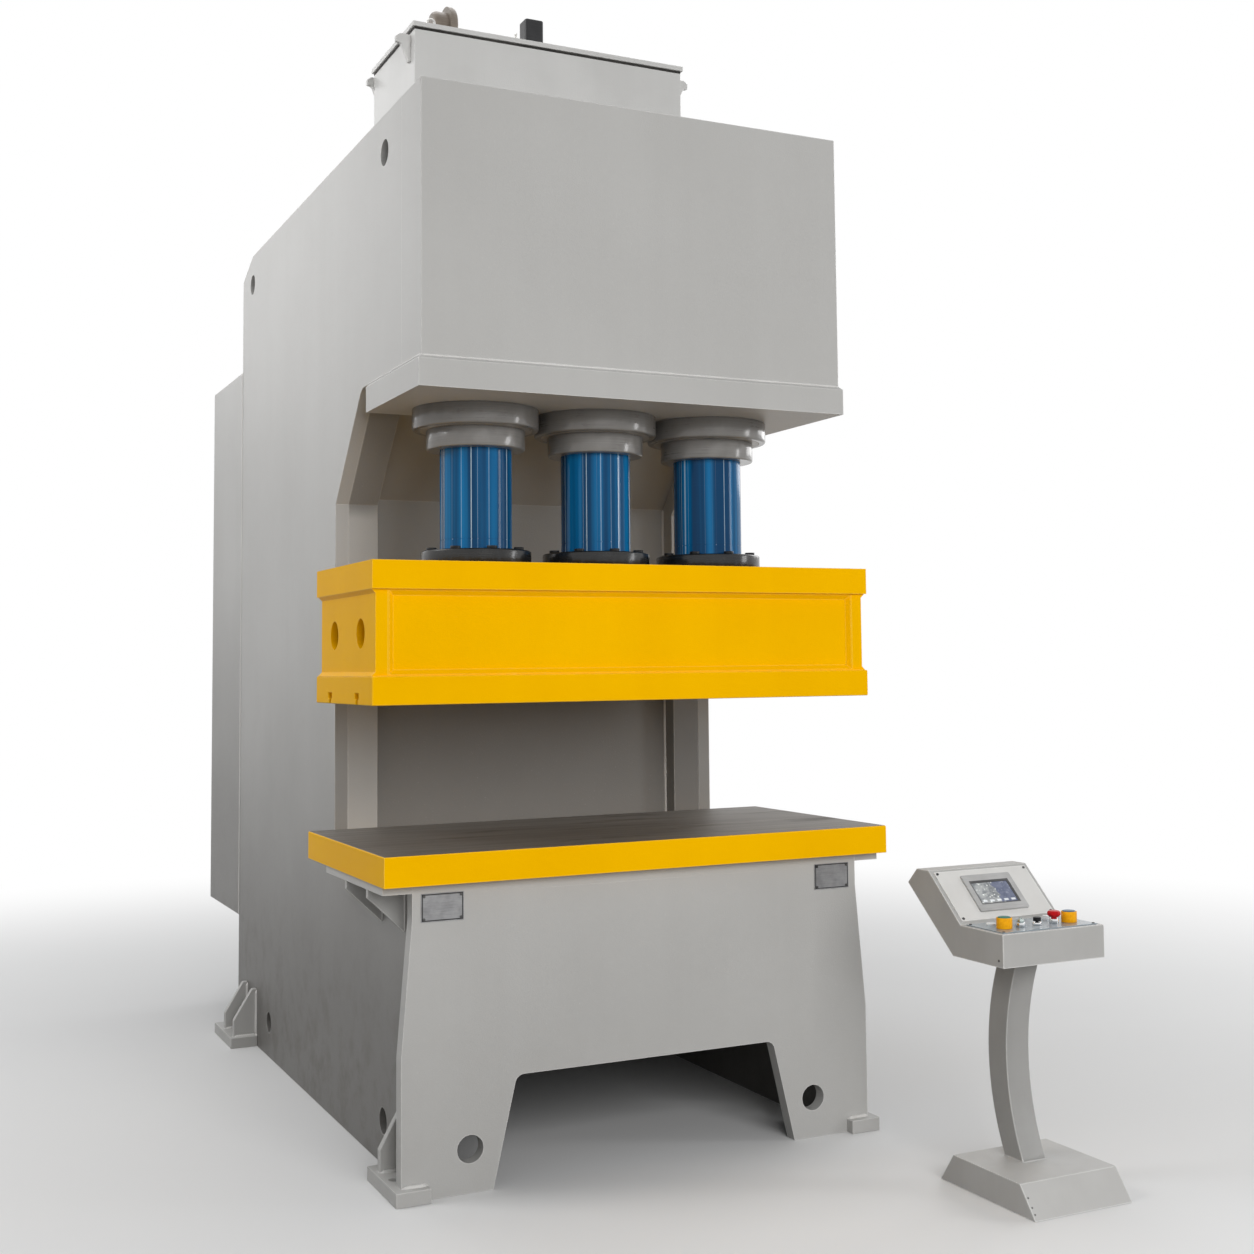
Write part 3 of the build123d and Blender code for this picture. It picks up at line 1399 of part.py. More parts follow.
# Run buttons: wide caps inside yellow guards
with BuildPart() as run_button_guards:
    with BuildSketch(Plane.XY.offset(desk_top)):
        with Locations(*run_places.values()):
            Circle(run_guard_radius)
            Circle(run_guard_bore_radius, mode=Mode.SUBTRACT)
    extrude(amount=run_guard_height)
run_button_guards.part.label = "run_button_guards"
export_step(run_button_guards.part, "parts/run_button_guards.step")

run_cap_top = desk_top + run_guard_height + run_cap_proud
for side, place in run_places.items():
    with BuildPart() as run_button:
        with BuildSketch(Plane.XY.offset(run_cap_top)):
            with Locations(place):
                Circle(run_cap_radius)
        extrude(amount=-run_cap_thickness)
        fillet(run_button.faces().sort_by(Axis.Z)[-1].edges(), radius=run_cap_rounding)
        with BuildSketch(Plane.XY.offset(run_cap_top - run_cap_thickness)):
            with Locations(place):
                Circle(stem_radius)
        extrude(amount=-(run_cap_top - run_cap_thickness - desk_top + stem_length))
    run_button.part.label = f"run_button_{side}"
    export_step(run_button.part, f"parts/run_button_{side}.step")

# Chrome bezels of the selector, the black button and the stop button
with BuildPart() as control_bezels:
    for place, radius, height in (
        (selector_place, selector_bezel_radius, selector_bezel_height),
        (black_place, black_bezel_radius, black_bezel_height),
        (stop_place, stop_collar_radius, stop_collar_height),
    ):
        with BuildSketch(Plane.XY.offset(desk_top)):
            with Locations(place):
                Circle(radius)
                Circle(control_bore_radius, mode=Mode.SUBTRACT)
        extrude(amount=height)
        bezel_top = control_bezels.faces(Select.LAST).sort_by(Axis.Z)[-1]
        chamfer(bezel_top.outer_wire().edges(), length=control_bezel_chamfer)
control_bezels.part.label = "control_bezels"
export_step(control_bezels.part, "parts/control_bezels.step")

# Selector: a round knob with a grip bar
selector_base = desk_top + selector_bezel_height + fit_gap
with BuildPart() as selector_knob:
    with BuildSketch(Plane.XY.offset(selector_base)):
        with Locations(selector_place):
            Circle(selector_knob_radius)
    extrude(amount=selector_knob_height)
    with BuildSketch(Plane.XY.offset(selector_base)):
        with Locations(Location((*selector_place, 0), (0, 0, selector_grip_turn))):
            SlotOverall(selector_grip_length, selector_grip_width)
    extrude(amount=selector_grip_height)
    with BuildSketch(Plane.XY.offset(selector_base)):
        with Locations(selector_place):
            Circle(stem_radius)
    extrude(amount=-(selector_base - desk_top + stem_length))
selector_knob.part.label = "selector_knob"
export_step(selector_knob.part, "parts/selector_knob.step")

# Black button
black_base = desk_top + black_bezel_height + black_stroke + fit_gap
with BuildPart() as black_button:
    with BuildSketch(Plane.XY.offset(black_base)):
        with Locations(black_place):
            Circle(black_cap_radius)
    extrude(amount=black_cap_height)
    fillet(black_button.faces().sort_by(Axis.Z)[-1].edges(), radius=black_cap_rounding)
    with BuildSketch(Plane.XY.offset(black_base)):
        with Locations(black_place):
            Circle(stem_radius)
    extrude(amount=-(black_base - desk_top + stem_length))
black_button.part.label = "black_button"
export_step(black_button.part, "parts/black_button.step")

# Stop button: a red mushroom on a neck
stop_base = desk_top + stop_collar_height + stop_stroke + fit_gap
with BuildPart() as stop_button:
    with BuildSketch(Plane.XY.offset(stop_base)):
        with Locations(stop_place):
            Circle(stop_head_radius)
    extrude(amount=stop_head_height)
    fillet(stop_button.faces().sort_by(Axis.Z)[-1].edges(), radius=stop_crown_rounding)
    chamfer(stop_button.faces().sort_by(Axis.Z)[0].edges(), length=stop_skirt_chamfer)
    with BuildSketch(Plane.XY.offset(stop_base)):
        with Locations(stop_place):
            Circle(stop_neck_radius)
    extrude(amount=-(stop_base - desk_top - fit_gap - stop_stroke))
    with BuildSketch(Plane.XY.offset(stop_base)):
        with Locations(stop_place):
            Circle(stem_radius)
    extrude(amount=-(stop_base - desk_top + stem_length))
stop_button.part.label = "stop_button"
export_step(stop_button.part, "parts/stop_button.step")

# Signal lamps
with BuildPart() as signal_lamps:
    for place, radius, height in zip(lamp_places, lamp_radii, lamp_heights):
        with BuildSketch(Plane.XY.offset(desk_top)):
            with Locations(place):
                Circle(radius)
        extrude(amount=height)
        fillet(signal_lamps.faces(Select.LAST).sort_by(Axis.Z)[-1].edges(), radius=lamp_rounding)
signal_lamps.part.label = "signal_lamps"
export_step(signal_lamps.part, "parts/signal_lamps.step")
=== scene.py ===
import math

import bpy
import numpy as np
from mathutils import Matrix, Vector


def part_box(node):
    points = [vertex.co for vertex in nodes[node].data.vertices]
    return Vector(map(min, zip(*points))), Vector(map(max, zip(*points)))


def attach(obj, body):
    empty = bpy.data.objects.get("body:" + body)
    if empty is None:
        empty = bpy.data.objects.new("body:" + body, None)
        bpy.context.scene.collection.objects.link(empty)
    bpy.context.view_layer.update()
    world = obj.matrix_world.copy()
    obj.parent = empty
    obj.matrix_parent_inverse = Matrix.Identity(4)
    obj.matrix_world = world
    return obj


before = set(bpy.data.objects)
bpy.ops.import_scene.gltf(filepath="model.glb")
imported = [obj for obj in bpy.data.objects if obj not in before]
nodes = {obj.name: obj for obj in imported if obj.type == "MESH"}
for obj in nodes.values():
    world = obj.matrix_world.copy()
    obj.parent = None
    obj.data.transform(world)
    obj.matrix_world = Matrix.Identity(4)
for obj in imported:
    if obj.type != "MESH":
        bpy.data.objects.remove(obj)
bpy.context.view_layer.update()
print("frame loaded")

# Places below are metres in the press's own frame: X right, Y back, Z up from the floor.
# Depths are counted back from the frame's front face, as on a drawing.
press = {
    "frontY": -1.322,
    "halfWidth": 0.8,  # to the outer faces of the side plates
    "height": 3.615,
    "headBottom": 2.686,  # top edge of the flange plate's bevel
    "strip": 0.634,  # inner edge of a throat strip, from the middle
}


def at(depth):
    return press["frontY"] + depth


# Shader sums: a wire holds one socket, and each operator on it adds one Math node.
class Wire:
    def __init__(self, recipe, socket):
        self.recipe = recipe
        self.socket = socket

    def maths(self, operation, *values):
        return self.recipe.node("ShaderNodeMath", {"operation": operation}, dict(enumerate(values)))

    def __add__(self, other):
        return self.maths("ADD", self, other)

    def __radd__(self, other):
        return self.maths("ADD", other, self)

    def __sub__(self, other):
        return self.maths("SUBTRACT", self, other)

    def __rsub__(self, other):
        return self.maths("SUBTRACT", other, self)

    def __mul__(self, other):
        return self.maths("MULTIPLY", self, other)

    def __rmul__(self, other):
        return self.maths("MULTIPLY", other, self)

    def smaller(self, other):
        return self.maths("MINIMUM", self, other)

    def size(self):
        return self.maths("ABSOLUTE", self)

    def sine(self):
        return self.maths("SINE", self)

    # 0 at low, 1 at high, eased in between; low may lie above high
    def ease(self, low, high):
        settings = {"interpolation_type": "SMOOTHSTEP", "clamp": True}
        return self.recipe.node("ShaderNodeMapRange", settings, {0: self, 1: low, 2: high})


# a colour's three values with full alpha; a wire stays as it is
def opaque(colour):
    return colour if isinstance(colour, Wire) else (*colour, 1)


# One tree of nodes: node() makes any node, its settings first and then its sockets.
class Recipe:
    def __init__(self, owner):
        owner.use_nodes = True
        self.tree = owner.node_tree
        self.tree.nodes.clear()

    def node(self, kind, settings, values, output=0):
        made = self.tree.nodes.new(kind)
        for word, value in settings.items():
            setattr(made, word, value)
        for key, value in values.items():
            if isinstance(value, Wire):
                self.tree.links.new(value.socket, made.inputs[key])
            else:
                made.inputs[key].default_value = value
        return Wire(self, made.outputs[output])

    def vector(self, operation, values, output=0):
        return self.node("ShaderNodeVectorMath", {"operation": operation}, dict(enumerate(values)), output)

    # 1 on a ray from the camera, a reflection or glass, 0 on a ray that only carries light
    def shown(self):
        camera, glossy, through = [
            self.node("ShaderNodeLightPath", {}, {}, output=word)
            for word in ("Is Camera Ray", "Is Glossy Ray", "Is Transmission Ray")]
        return (camera + glossy + through).smaller(1.0)

    # a Mix node's colours are its sockets 6 and 7, and the mixed colour its output 2
    def blend(self, factor, first, second):
        values = {0: factor, 6: opaque(first), 7: opaque(second)}
        return self.node("ShaderNodeMix", {"data_type": "RGBA"}, values, output=2)


# Where a corner counts as a rim: how like the rounded and the plain normal are, from unmarked to full
rimLook = {"samples": 4, "span": (0.991, 0.94)}


# One material: feed() sets or links a socket of its shader.
class Finish(Recipe):
    def __init__(self, name, **constants):
        self.material = bpy.data.materials.new(name)
        super().__init__(self.material)
        self.output = self.tree.nodes.new("ShaderNodeOutputMaterial")
        self.shader = self.node("ShaderNodeBsdfPrincipled", {}, {})
        self.tree.links.new(self.shader.socket, self.output.inputs[0])
        for word, value in constants.items():
            self.feed(word.replace("_", " "), value)
        self.place = self.node("ShaderNodeTexCoord", {}, {}, output="Object")
        parts = self.node("ShaderNodeSeparateXYZ", {}, {0: self.place}).socket.node
        self.x, self.y, self.z = [Wire(self, parts.outputs[axis]) for axis in range(3)]

    def feed(self, word, value):
        socket = self.shader.socket.node.inputs[word]
        if isinstance(value, Wire):
            self.tree.links.new(value.socket, socket)
        else:
            socket.default_value = (*value, 1) if hasattr(value, "__len__") else value

    # another surface over what is there, where the factor is 1
    def cover(self, factor, upper):
        under = Wire(self, self.output.inputs[0].links[0].from_socket)
        mixed = self.node("ShaderNodeMixShader", {}, {0: factor, 1: under, 2: upper})
        self.tree.links.new(mixed.socket, self.output.inputs[0])

    # a second shader over the first; feed() then goes to the new one
    def layer(self, factor):
        self.shader = self.node("ShaderNodeBsdfPrincipled", {}, {})
        self.cover(factor, self.shader)

    # cloudy noise round 0.5; stretch counts features per metre, one number or one for each axis
    def noise(self, stretch, detail, rough):
        if not hasattr(stretch, "__len__"):
            stretch = (stretch, stretch, stretch)
        scaled = self.vector("MULTIPLY", (self.place, stretch))
        values = {"Vector": scaled, "Scale": 1, "Detail": detail, "Roughness": rough}
        return self.node("ShaderNodeTexNoise", {}, values)

    def bump(self, height, distance):
        values = {"Height": height, "Distance": distance, "Strength": 1.0}
        self.feed("Normal", self.node("ShaderNodeBump", {}, values))

    # how near a point is to a sharp corner of its own piece: how far the rounded normal leans from the plain
    def rims(self, width):
        rounded = self.node("ShaderNodeBevel", {"samples": rimLook["samples"]}, {"Radius": width})
        plain = self.node("ShaderNodeNewGeometry", {}, {}, output="Normal")
        return self.vector("DOT_PRODUCT", (rounded, plain), output=1).ease(*rimLook["span"])


print("shader tools ready")

# In every look below, a noise is features per metre, detail and roughness, a grain only the last two,
# and a span is where a mask is 0 and where it is 1. The plates share these patterns.
plate = {
    "coatIor": 1.5, "cloudGrain": (3, 0.55), "runGrain": (3, 0.6), "runStretch": 0.06,
    "cloudShare": 0.65, "runShare": 0.35, "toneSpan": (0.3, 0.72),
    "dust": (9, 4, 0.65), "dustSpan": (0.42, 0.75), "dustRough": 0.15, "shadeDrift": 0.3,
    "rub": (34, 4, 0.7), "rubSpan": (0.5, 0.8), "rubRim": 0.4, "rubRough": 0.05,
    "specks": (210, 1, 0.5), "speckSpan": (0.70, 0.82), "pitSpan": (0.0034, 0.0022),
    "peelGrain": (2, 0.5), "peelRough": 0.16, "peelHigh": 0.7, "cloudHigh": 0.3,
}


# Satin paint on plate: soft clouds and faint runs down the sheet, with dust near the floor, painted shade
# between two heights, pale rims painted as an edge highlight and stronger where rubbed, specks and pits laid
# over them in turn, and orange peel as bump.
def platePaint(name, colour, shade, look, rimWidth=0.0, paintedShade=None, pits=()):
    paint = Finish(name, Coat_IOR=plate["coatIor"])
    clouds = paint.noise(look["clouds"], *plate["cloudGrain"])
    runs = paint.noise((look["runs"], look["runs"], look["runs"] * plate["runStretch"]), *plate["runGrain"])
    tone = (clouds * plate["cloudShare"] + runs * plate["runShare"]).ease(*plate["toneSpan"])
    tint = paint.blend(tone, shade, colour)
    dust = paint.noise(*plate["dust"]).ease(*plate["dustSpan"]) * paint.z.ease(look["dustHeight"], 0.0)
    tint = paint.blend(dust * look["dust"], tint, look["dustColour"])
    # painted shade: the paint is darkened between two heights, where the piece lies in shade
    if paintedShade:
        strength, unshadedHeight, shadedHeight = paintedShade
        reach = (paint.z + (clouds - 0.5) * plate["shadeDrift"]).ease(unshadedHeight, shadedHeight)
        tint = paint.blend(reach * strength, tint, look["paintedShadeColour"])
    rubbed = paint.noise(*plate["rub"]).ease(*plate["rubSpan"])
    # pale rims: a painted edge highlight, stronger where the paint is rubbed
    if rimWidth:
        rim = paint.rims(rimWidth)
        tint = paint.blend(rim * (look["rimLeast"] + rubbed * plate["rubRim"]), tint, look["rimHighlightColour"])
    specks = paint.noise(*plate["specks"]).ease(*plate["speckSpan"])
    tint = paint.blend(specks * look["specks"], tint, look["speckColour"])
    for place in pits:
        away = paint.vector("DISTANCE", (paint.place, place), output=1)
        tint = paint.blend(away.ease(*plate["pitSpan"]), tint, look["pitColour"])
    paint.feed("Base Color", tint)
    peel = paint.noise(look["peel"], *plate["peelGrain"])
    worn = rubbed * plate["rubRough"] + dust * plate["dustRough"]
    paint.feed("Roughness", look["roughness"] + (peel - 0.5) * plate["peelRough"] + worn)
    paint.feed("Coat Weight", look["coat"])
    paint.feed("Coat Roughness", look["coatRoughness"])
    paint.feed("Specular Tint", look["tint"])
    paint.feed("Specular IOR Level", look["specular"])
    paint.bump(peel * plate["peelHigh"] + clouds * plate["cloudHigh"], look["peelDepth"])
    return paint.material


frameLook = {
    "clouds": 1.7, "runs": 5.0, "peel": 240.0, "peelDepth": 0.0010,
    "roughness": 0.42, "coat": 0.08, "coatRoughness": 0.34, "specular": 0.26, "tint": (1.0, 1.0, 1.0),
    "dust": 0.30, "dustColour": (0.30, 0.265, 0.22), "dustHeight": 0.9,
    "rimWidth": 0.006, "rimLeast": 0.45, "rimHighlightColour": (0.78, 0.77, 0.75),
    # the last colour is that of the painted shade
    "specks": 0.25, "speckColour": (0.72, 0.71, 0.68), "paintedShadeColour": (0.088, 0.081, 0.073),
}
framePaint = (0.490, 0.485, 0.470)
frameShade = (0.458, 0.452, 0.437)
# welds are painted lighter than the frame: a painted highlight on the beads
weldHighlightColours = ((0.74, 0.73, 0.71), (0.62, 0.61, 0.59))
weldLook = dict(frameLook, roughness=0.30)
wipedLook = dict(frameLook, dust=0.06)

# How strongly painted shade darkens a plate, the height where it is unshaded and the height where it is full
paintedShades = {
    "side_plate_left": (0.80, 1.95, 0.40), "side_plate_right": (0.80, 1.95, 0.40),
    "rear_housing": (0.78, 2.3, 0.7), "throat_back_plate": (0.60, 3.0, 1.6),
    "throat_strip_left": (0.55, 2.26, 2.34), "throat_strip_right": (0.70, 2.15, 1.35),
}
print("plate paint ready")

# Loose triangles are joined within this distance before their edges are rounded
edgeLook = {"join": 0.00001, "angle": math.radians(40)}


# A node's own materials are the record's plain ones; this hands it a finished one and rounds its edges.
def dress(name, material, rounding=0.0, segments=2):
    node = nodes[name]
    for slot in node.material_slots:
        slot.material = material
    if rounding:
        joined = node.modifiers.new("joined", "WELD")
        joined.merge_threshold = edgeLook["join"]
        eased = node.modifiers.new("eased", "BEVEL")
        eased.width = rounding
        eased.segments = segments
        eased.limit_method = "ANGLE"
        eased.angle_limit = edgeLook["angle"]
        eased.harden_normals = True


# Frame plates and the rounding of their edges; those with round holes stay as cut, and a painted edge
# highlight shows their rims
framePieces = {
    "side_plate_left": 0.0, "side_plate_right": 0.0, "head_front_casing": 0.0025,
    "head_flange_plate": 0.0, "head_top_plate": 0.002, "throat_back_plate": 0.002,
    "throat_strip_left": 0.003, "throat_strip_right": 0.003, "back_plate": 0.002,
    "base_front_plate": 0.0, "bed_plate": 0.002, "table_bracket_left": 0.0015,
    "table_bracket_right": 0.0015, "front_feet": 0.003, "rear_feet": 0.003,
    "rear_housing": 0.0025, "rear_cover": 0.0,
}
wipedPieces = ("base_front_plate", "front_feet", "rear_feet")  # wiped down where the operator stands
for pieceName, rounding in framePieces.items():
    look = wipedLook if pieceName in wipedPieces else frameLook
    paintedShade = paintedShades.get(pieceName)
    paint = platePaint("paint_" + pieceName, framePaint, frameShade, look, look["rimWidth"], paintedShade)
    dress(pieceName, paint, rounding)
weldPaint = platePaint("paint_welds", *weldHighlightColours, weldLook)
print("frame painted")

# Slide: golden yellow with a fine peel and slightly deeper shade in its clouds
slideLook = {
    "clouds": 2.3, "runs": 6.0, "peel": 210.0, "peelDepth": 0.0009,
    "roughness": 0.36, "coat": 0.0, "coatRoughness": 0.20, "specular": 0.02, "tint": (1.0, 0.62, 0.05),
    "dust": 0.0, "dustColour": (0.35, 0.25, 0.10), "dustHeight": 0.5,
    "rimWidth": 0.006, "rimLeast": 0.22, "rimHighlightColour": (1.0, 0.70, 0.16),
    "specks": 0.10, "speckColour": (0.98, 0.66, 0.12),
}
slideYellow = (1.0, 0.530, 0.0)
slideAmber = (0.95, 0.490, 0.0)
slidePieces = {
    "slide_top_plate": 0.0, "slide_bottom_plate": 0.004, "slide_front_web": 0.0,
    "slide_back_web": 0.0, "slide_end_plate_left": 0.0, "slide_end_plate_right": 0.0, "slide_ribs": 0.002,
}
for pieceName, rounding in slidePieces.items():
    paint = platePaint("paint_" + pieceName, slideYellow, slideAmber, slideLook, slideLook["rimWidth"])
    dress(pieceName, paint, rounding, segments=3)
print("slide painted")

# Work table: yellow edges, and a dark ground top with long streaks, cutter passes and old marks
tableLook = {
    "rounding": 0.002, "lipSpan": (0.0012, 0.00048),  # the top begins this far below its own level
    "paintClouds": (2.3, 3, 0.5), "paintSpan": (0.3, 0.7), "peelRough": 0.12, "rimWidth": 0.005, "rim": 0.6,
    "steel": (0.135, 0.124, 0.112), "steelLight": (0.265, 0.247, 0.225), "stain": (0.070, 0.061, 0.053),
    "streaks": ((0.9, 230, 40), 4, 0.6), "broad": ((1.3, 16, 1), 3, 0.55), "wander": ((0.8, 2.5, 1), 2, 0.5),
    "streakShare": 0.55, "broadShare": 0.45, "steelSpan": (0.3, 0.75),
    "marks": ((2.0, 5.5, 1), 5, 0.62), "markSpan": (0.52, 0.72), "mark": 0.55,
    "passWidth": 0.062, "passWander": 0.02, "passHigh": 0.10, "streakHigh": 0.55, "depth": 0.0009,
    "roughness": 0.50, "streakRough": 0.25, "markRough": 0.12, "metal": 0.55, "specular": 0.20,
}


# Paint all over, then steel where z passes the lip; a pass is sin(2 pi (y + wander) / width)
def tableFinish(look):
    low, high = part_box("table_plate")
    finish = Finish("table_steel")
    rim = finish.rims(look["rimWidth"])
    peel = finish.noise(slideLook["peel"], *plate["peelGrain"])
    paint = finish.blend(finish.noise(*look["paintClouds"]).ease(*look["paintSpan"]), slideAmber, slideYellow)
    # pale rims on the yellow edges: a painted edge highlight
    finish.feed("Base Color", finish.blend(rim * look["rim"], paint, slideLook["rimHighlightColour"]))
    finish.feed("Specular Tint", slideLook["tint"])
    finish.feed("Specular IOR Level", slideLook["specular"])
    finish.feed("Roughness", slideLook["roughness"] + (peel - 0.5) * look["peelRough"])
    finish.bump(peel, slideLook["peelDepth"])
    finish.layer(finish.z.ease(*[high[2] - below for below in look["lipSpan"]]))
    streaks = finish.noise(*look["streaks"])
    broad = finish.noise(*look["broad"])
    wander = finish.noise(*look["wander"])
    passes = ((finish.y + wander * look["passWander"]) * (2 * math.pi / look["passWidth"])).sine()
    marks = finish.noise(*look["marks"]).ease(*look["markSpan"])
    tone = (streaks * look["streakShare"] + broad * look["broadShare"]).ease(*look["steelSpan"])
    steel = finish.blend(tone, look["steel"], look["steelLight"])
    finish.feed("Base Color", finish.blend(marks * look["mark"], steel, look["stain"]))
    finish.feed("Metallic", look["metal"])
    finish.feed("Specular IOR Level", look["specular"])
    worn = (streaks - 0.5) * look["streakRough"] + marks * look["markRough"]
    finish.feed("Roughness", look["roughness"] + worn)
    finish.bump(streaks * look["streakHigh"] + passes * look["passHigh"], look["depth"])
    return finish.material


dress("table_plate", tableFinish(tableLook), tableLook["rounding"])
print("table finished")

# Piston rods: deep blue, very smooth, with thin bright streaks along them as painted reflections, and faint
# turning rings
rodLook = {
    "deep": (0.002, 0.048, 0.135), "mid": (0.006, 0.165, 0.400), "reflectionStreak": (0.62, 0.80, 0.92),
    "ring": (0.02, 0.20, 0.44), "roughness": 0.10, "specular": 0.14,
    "broad": ((22, 22, 0.25), 2, 0.5), "broadSpan": (0.35, 0.65),
    "upright": ((120, 120, 0.08), 2, 0.5), "streakSpan": (0.62, 0.70), "streakShare": 0.7,
    "rings": ((2, 2, 420), 2, 0.5), "ringSpan": (0.62, 0.80), "ringShare": 0.25,
    "uprightRough": 0.12, "ringRough": 0.05, "ringHigh": 0.4, "uprightHigh": 0.6, "depth": 0.00012,
}


def rodFinish(look):
    finish = Finish("rod_blue")
    broad = finish.noise(*look["broad"])
    upright = finish.noise(*look["upright"])
    rings = finish.noise(*look["rings"])
    shade = finish.blend(broad.ease(*look["broadSpan"]), look["deep"], look["mid"])
    # bright streaks: painted reflections along the rod
    shade = finish.blend(upright.ease(*look["streakSpan"]) * look["streakShare"], shade, look["reflectionStreak"])
    shade = finish.blend(rings.ease(*look["ringSpan"]) * look["ringShare"], shade, look["ring"])
    finish.feed("Base Color", shade)
    finish.feed("Specular IOR Level", look["specular"])
    grain = (upright - 0.5) * look["uprightRough"] + (rings - 0.5) * look["ringRough"]
    finish.feed("Roughness", look["roughness"] + grain)
    finish.bump(rings * look["ringHigh"] + upright * look["uprightHigh"], look["depth"])
    return finish.material


dress("piston_rods", rodFinish(rodLook))

# Cast and turned pieces share one recipe: colour clouds, and rings about the vertical, so many to a metre
turnedLook = {
    "rings": 300.0, "ringGrain": (2, 0.5), "ringStretch": 0.02, "depth": 0.0004,
    "clouds": (14, 3, 0.5), "share": 0.5, "span": (0.3, 0.7), "rimShare": 0.6, "rimLift": 2.4,
    "cloudRough": 0.14, "ringRough": 0.08, "ringHigh": 0.6, "cloudHigh": 0.4,
    "specular": 0.35, "coatRoughness": 0.12,
}
brushedLook = dict(turnedLook, rings=900.0, depth=0.0001)  # finer, for the small pieces of the console


def turnedFinish(name, dark, light, roughness, metal, coat, look, rimWidth=0.0):
    finish = Finish(name, Coat_Roughness=look["coatRoughness"])
    clouds = finish.noise(*look["clouds"])
    across = look["rings"] * look["ringStretch"]
    fine = finish.noise((across, across, look["rings"]), *look["ringGrain"])
    tint = finish.blend((clouds * look["share"] + fine * look["share"]).ease(*look["span"]), dark, light)
    # pale rims at sharp edges: a painted edge highlight
    if rimWidth:
        pale = [min(1.0, value * look["rimLift"]) for value in light]
        tint = finish.blend(finish.rims(rimWidth) * look["rimShare"], tint, pale)
    finish.feed("Base Color", tint)
    grain = (clouds - 0.5) * look["cloudRough"] + (fine - 0.5) * look["ringRough"]
    finish.feed("Roughness", roughness + grain)
    finish.feed("Metallic", metal)
    finish.feed("Coat Weight", coat)
    finish.feed("Specular IOR Level", look["specular"])
    finish.bump(fine * look["ringHigh"] + clouds * look["cloudHigh"], look["depth"])
    return finish.material


# Each piece's finish, darker and lighter colour, roughness, metal, coat and the rounding of its edges
zinc = ((0.36, 0.355, 0.34), (0.55, 0.54, 0.52), 0.32, 0.9, 0.0, 0.0006)
darkSteel = ((0.035, 0.035, 0.036), (0.150, 0.148, 0.145), 0.34, 0.7, 0.0)
turned = {
    "cylinder_rings": ("ring_grey", (0.138, 0.132, 0.124), (0.172, 0.165, 0.155), 0.30, 0.0, 0.5, 0.003),
    "rod_glands": ("gland_grey", (0.160, 0.154, 0.146), (0.198, 0.191, 0.181), 0.30, 0.0, 0.5, 0.002),
    "cylinder_barrels": ("barrel_grey", (0.28, 0.27, 0.26), (0.36, 0.35, 0.34), 0.38, 0.0, 0.2, 0.002),
    "feed_pipes": ("pipe_grey", (0.34, 0.33, 0.32), (0.42, 0.41, 0.40), 0.35, 0.0, 0.3, 0.0),
    "rod_flanges": ("flange_black", (0.008, 0.009, 0.010), (0.020, 0.021, 0.022), 0.26, 0.1, 0.3, 0.0015),
    "rod_flange_bolts": ("bolt_black", (0.008, 0.008, 0.009), (0.030, 0.030, 0.031), 0.38, 0.6, 0.1, 0.001),
    "pistons": ("piston_steel", (0.42, 0.42, 0.41), (0.58, 0.57, 0.56), 0.25, 1.0, 0.0, 0.001),
    "rod_seals": ("seal_rubber", (0.012, 0.012, 0.012), (0.03, 0.03, 0.03), 0.6, 0.0, 0.0, 0.0),
    "tank_gasket": ("gasket_rubber", (0.015, 0.014, 0.013), (0.045, 0.042, 0.038), 0.7, 0.0, 0.0, 0.0),
    "tank_lid_bolts": ("lid_bolt_zinc", *zinc),
    "rear_cover_screws": ("cover_screw_zinc", *zinc),
    "panel_screws": ("panel_screw_steel", *darkSteel, 0.0004),
    "eye_bolts": ("eye_zinc", (0.45, 0.44, 0.42), (0.66, 0.65, 0.63), 0.30, 0.85, 0.0, 0.0),
    "return_filter": ("filter_paint", (0.130, 0.105, 0.082), (0.230, 0.195, 0.160), 0.42, 0.1, 0.15, 0.0),
    "level_switch": ("switch_plastic", (0.010, 0.010, 0.011), (0.030, 0.030, 0.032), 0.45, 0.0, 0.1, 0.0),
}
# pieces whose sharp edges get a painted edge highlight, and its width
rimHighlights = {"cylinder_rings": 0.004, "rod_glands": 0.004, "rod_flanges": 0.004}
for pieceName, (*recipe, rounding) in turned.items():
    dress(pieceName, turnedFinish(*recipe, turnedLook, rimHighlights.get(pieceName, 0.0)), rounding)
print("cylinders, bolts and fittings finished")

# Tank: the same paint as the frame, cleaner and brighter
tankLook = dict(frameLook, dust=0.0, roughness=0.33, clouds=2.6)
tankPaint = (0.65, 0.645, 0.63)
tankShade = (0.58, 0.575, 0.56)
for pieceName, rounding in {"oil_tank": 0.002, "tank_lid": 0.0, "tank_hooks": 0.002}.items():
    paint = platePaint("paint_" + pieceName, tankPaint, tankShade, tankLook, tankLook["rimWidth"])
    dress(pieceName, paint, rounding)

# Console and pedestal: fine-grained light paint; each piece's rounding and a factor on its paint that paints
# in the light or shade it gets
consoleWeldLook = dict(frameLook, dust=0.0, peel=520.0, peelDepth=0.0006, clouds=5.0, runs=14.0, specks=0.12)
